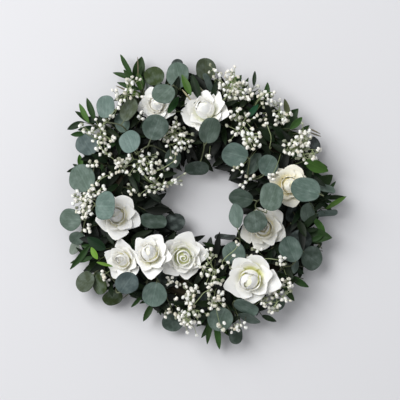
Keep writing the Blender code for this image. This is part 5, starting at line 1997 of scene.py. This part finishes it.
# Root and tip in the picture, height, width and tint
EDGE_LEAVES = (
    (133, 78, 120, 54.6, 40, 10, LEAF_GREEN), (134, 80, 123.5, 70, 46, 11, LEAF_GREEN),
    (135, 88, 127, 79, 50, 12, LEAF_GREEN), (141, 90, 138, 72, 52, 15, (52, 84, 30)),
    (95, 120, 86.5, 98, 52, 13, LEAF_GREEN), (89, 123, 78.5, 103, 50, 11, (66, 98, 38)),
    (84, 122, 66.5, 129, 48, 14, LEAF_DARK), (84, 133, 71, 135, 44, 11, LEAF_GREEN),
    (79, 167, 66.7, 172, 36, 8, LEAF_DARK), (83, 170, 73, 164, 40, 8, LEAF_DARK),
    (80, 168, 79, 154, 36, 12, (58, 92, 36)), (191, 96, 182, 75, 72, 14, LEAF_YOUNG),
    (200, 100, 191, 74, 60, 17, LEAF_DARK), (168, 114, 179, 97, 70, 14, (30, 66, 28)),
    (228, 86, 237.5, 75.5, 48, 8, (112, 142, 62)), (232, 92, 241.5, 73.5, 44, 15, LEAF_GREEN),
    (254, 86, 255, 70.5, 44, 8, LEAF_DARK), (266, 100, 268, 82.5, 44, 12, LEAF_GREEN),
    (263, 97, 274, 96, 52, 9, LEAF_GREEN), (288, 119, 285.5, 98, 50, 13, (72, 80, 56)),
    (290, 129, 303, 117, 46, 14, (58, 92, 42)), (299, 133, 310.5, 125, 44, 9, LEAF_GREEN),
    (301, 156, 317, 148, 52, 17, LEAF_DARK), (304, 161, 328, 172, 60, 26, (66, 98, 38)),
    (315, 211, 331, 194, 40, 10, LEAF_DARK), (326, 209, 346.5, 196, 44, 10, (66, 98, 36)),
    (313, 218, 326.5, 232.5, 40, 14, (58, 94, 38)), (305, 231, 318.5, 229, 44, 9, LEAF_DARK),
    (311, 241, 323.5, 235.5, 42, 10, LEAF_GREEN), (315, 250, 323.5, 244, 38, 7, LEAF_DARK),
    (295, 269, 304.5, 274, 40, 8, LEAF_DARK), (291, 277, 308.5, 287.5, 42, 14, LEAF_GREEN),
    (284, 287, 294.8, 301.5, 40, 12, LEAF_GREEN), (262, 316, 276.5, 321.5, 38, 11, LEAF_DARK),
    (212, 314, 206.5, 345, 40, 12, LEAF_GREEN), (216, 320, 219.5, 350, 38, 13, (48, 76, 32)),
    (208, 313, 197, 327, 42, 8, LEAF_GREEN), (153, 303, 143, 322, 40, 13, LEAF_GREEN),
    (141, 297, 131.5, 307.5, 38, 8, LEAF_GREEN), (161, 304, 157.5, 313, 42, 9, LEAF_DARK),
    (90, 245, 70.5, 270, 48, 13, LEAF_GREEN), (93, 257, 78.5, 262, 46, 10, LEAF_GREEN),
    (98, 259, 91, 247, 62, 12, (100, 142, 48)), (106, 249, 87, 238, 56, 24, (22, 46, 25)),
    (109, 263, 112, 245, 54, 13, LEAF_DARK), (97, 262, 113, 266, 62, 6, (104, 138, 52)),
    (143, 215, 139, 240, 50, 15, LEAF_DARK), (150, 120, 141, 128, 60, 13, LEAF_DARK),
    (262, 130, 275, 142, 50, 18, LEAF_DARK), (100, 248, 80, 246, 50, 10, LEAF_GREEN),
    (103, 121, 84, 118, 46, 15, LEAF_DARK), (104, 148, 118, 142, 54, 10, LEAF_GREEN),
    (101, 164, 106, 178, 56, 7, LEAF_GREEN), (262, 101, 275, 92, 56, 10, LEAF_GREEN),
    (248, 118, 258, 104, 64, 12, (18, 62, 40)), (292, 158, 301, 146, 60, 11, LEAF_GREEN),
    (150, 183, 156, 170, 58, 9, LEAF_GREEN), (215, 284, 226, 276, 62, 9, LEAF_GREEN),
    (138, 76, 138, 57, 50, 1.5, TWIG), (128, 91, 115.5, 85, 46, 2.6, TWIG), (308, 128, 320.5, 133.5, 46, 2.4, TWIG),
    (309, 132, 321.5, 136.5, 44, 2.4, TWIG), (192, 102, 182, 89, 60, 3, WOOD), (205, 93, 192, 80, 50, 3, WOOD),
)

# Place in the picture, height, florets and how far they spread
LOOSE_SPRAYS = (
    (237, 168, 90, 5, 8), (272, 175, 82, 5, 8), (250, 179, 64, 4, 9), (240, 185, 58, 2, 6), (209, 158, 60, 3, 8),
    (214, 70, 62, 7, 11), (84, 211, 72, 6, 11), (89, 228, 58, 5, 6), (122, 235, 56, 3, 7), (104, 275, 68, 4, 9),
    (241, 325, 60, 5, 8), (220, 325, 82, 5, 7), (235, 329, 52, 3, 6), (281, 260, 76, 6, 7), (288, 283, 62, 8, 11),
    (273, 308, 52, 7, 10), (257, 251, 66, 4, 8), (248, 258, 58, 3, 7), (250, 90, 60, 7, 13), (139, 117, 72, 5, 9),
    (262, 104, 62, 7, 12), (73, 196, 52, 5, 9), (121, 166, 58, 6, 12), (134, 190, 52, 5, 10),
    (112, 140, 60, 4, 9), (93, 166, 60, 5, 9), (265, 92, 56, 4, 7), (194, 306, 50, 6, 12), (171, 158, 60, 5, 11),
    (228, 262, 70, 6, 14), (216, 300, 66, 6, 14), (147, 170, 60, 7, 14), (104, 152, 60, 6, 12),
    (173, 303, 54, 6, 10), (168, 313, 48, 5, 7), (178, 316, 52, 6, 9), (190, 320, 50, 5, 8),
    (169, 280, 44, 5, 8), (180, 285, 42, 5, 8), (106, 282, 50, 3, 5),
)

# How many florets, then the places in the picture and the heights that a stem bends through
TRAILING_STEMS = (
    (2, (98, 141, 62), (102, 149, 72), (109, 155, 74), (116, 161, 64)),
    (0, (142, 171, 60), (146, 178, 70), (151, 182, 70), (156, 184, 60)),
    (3, (269, 149, 64), (271, 138, 78), (268, 130, 80), (266, 124, 76)),
    (3, (300, 155, 58), (307, 154, 66), (314, 154, 64), (320, 150, 56)),
    (2, (193, 305, 62), (199, 298, 74), (204, 291, 78), (211, 289, 72)),
    (3, (224, 99, 62), (231, 93, 74), (233, 86, 76), (230, 80, 70)),
    (4, (256, 103, 60), (262, 96, 72), (268, 93, 70), (274, 93, 62)),
    (3, (262, 259, 66), (268, 258, 76), (275, 259, 78), (280, 260, 74)),
    (3, (176, 160, 58), (169, 165, 68), (162, 169, 68), (155, 172, 60)),
    (3, (286, 150, 56), (291, 143, 70), (297, 138, 72), (301, 134, 64)),
    (2, (221, 262, 70), (227, 255, 82), (234, 250, 84), (238, 244, 78)),
    (3, (96, 186, 50), (100, 180, 62), (106, 176, 64), (112, 175, 58)),
)

SPRAYS = (
    ((-124, 172, 62), 26, 18),
    ((-166, 108, 58), 26, 18),
    ((-102, 66, 62), 28, 18),
    ((-38, 108, 62), 24, 18),
    ((-66, 28, 52), 30, 18),
    ((-182, 14, 54), 26, 18),
    ((50, 192, 50), 28, 18),
    ((62, 124, 66), 30, 18),
    ((122, 148, 48), 28, 18),
    ((158, 86, 58), 30, 18),
    ((14, -106, 66), 30, 18),
    ((-24, -172, 58), 34, 18),
    ((116, -146, 52), 30, 18),
)


def main() -> None:
    """Builds every piece in order."""
    logging.basicConfig(level=logging.INFO, format="%(message)s", stream=sys.stdout)
    room = Room()
    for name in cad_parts:
        solid = Solid(name)
        room.add(name, solid.points, solid.tree)
    finishes = {
        "eucalyptus": EUCALYPTUS_FINISH, "stem": STEM_FINISH, "pointed": POINTED_FINISH,
        "petal": PETAL_FINISH, "floret": FLORET_FINISH, "vine": VINE_FINISH,
    }
    shop = Workshop(ring_tree(), room, {use: finish.make() for use, finish in finishes.items()})
    VineRing().build(shop)
    for number, row in enumerate(ROSES, 1):
        Rose(number, *row).build(shop)
    for number, leaves in enumerate(EUCALYPTUS, 1):
        EucalyptusStem(number, leaves).build(shop)
    for number, row in enumerate(SPRAYS, 1):
        Spray(number, *row).build(shop)
    for number, row in enumerate(SPRIGS, 1):
        PointedSprig(number, *row).build(shop)
    EdgeLeaves(EDGE_LEAVES).build(shop)
    LooseSprays(LOOSE_SPRAYS).build(shop)
    TrailingStems(TRAILING_STEMS).build(shop)
    UnderLeaves().build(shop)
    Studio().build()


if __name__ == "__main__":
    main()
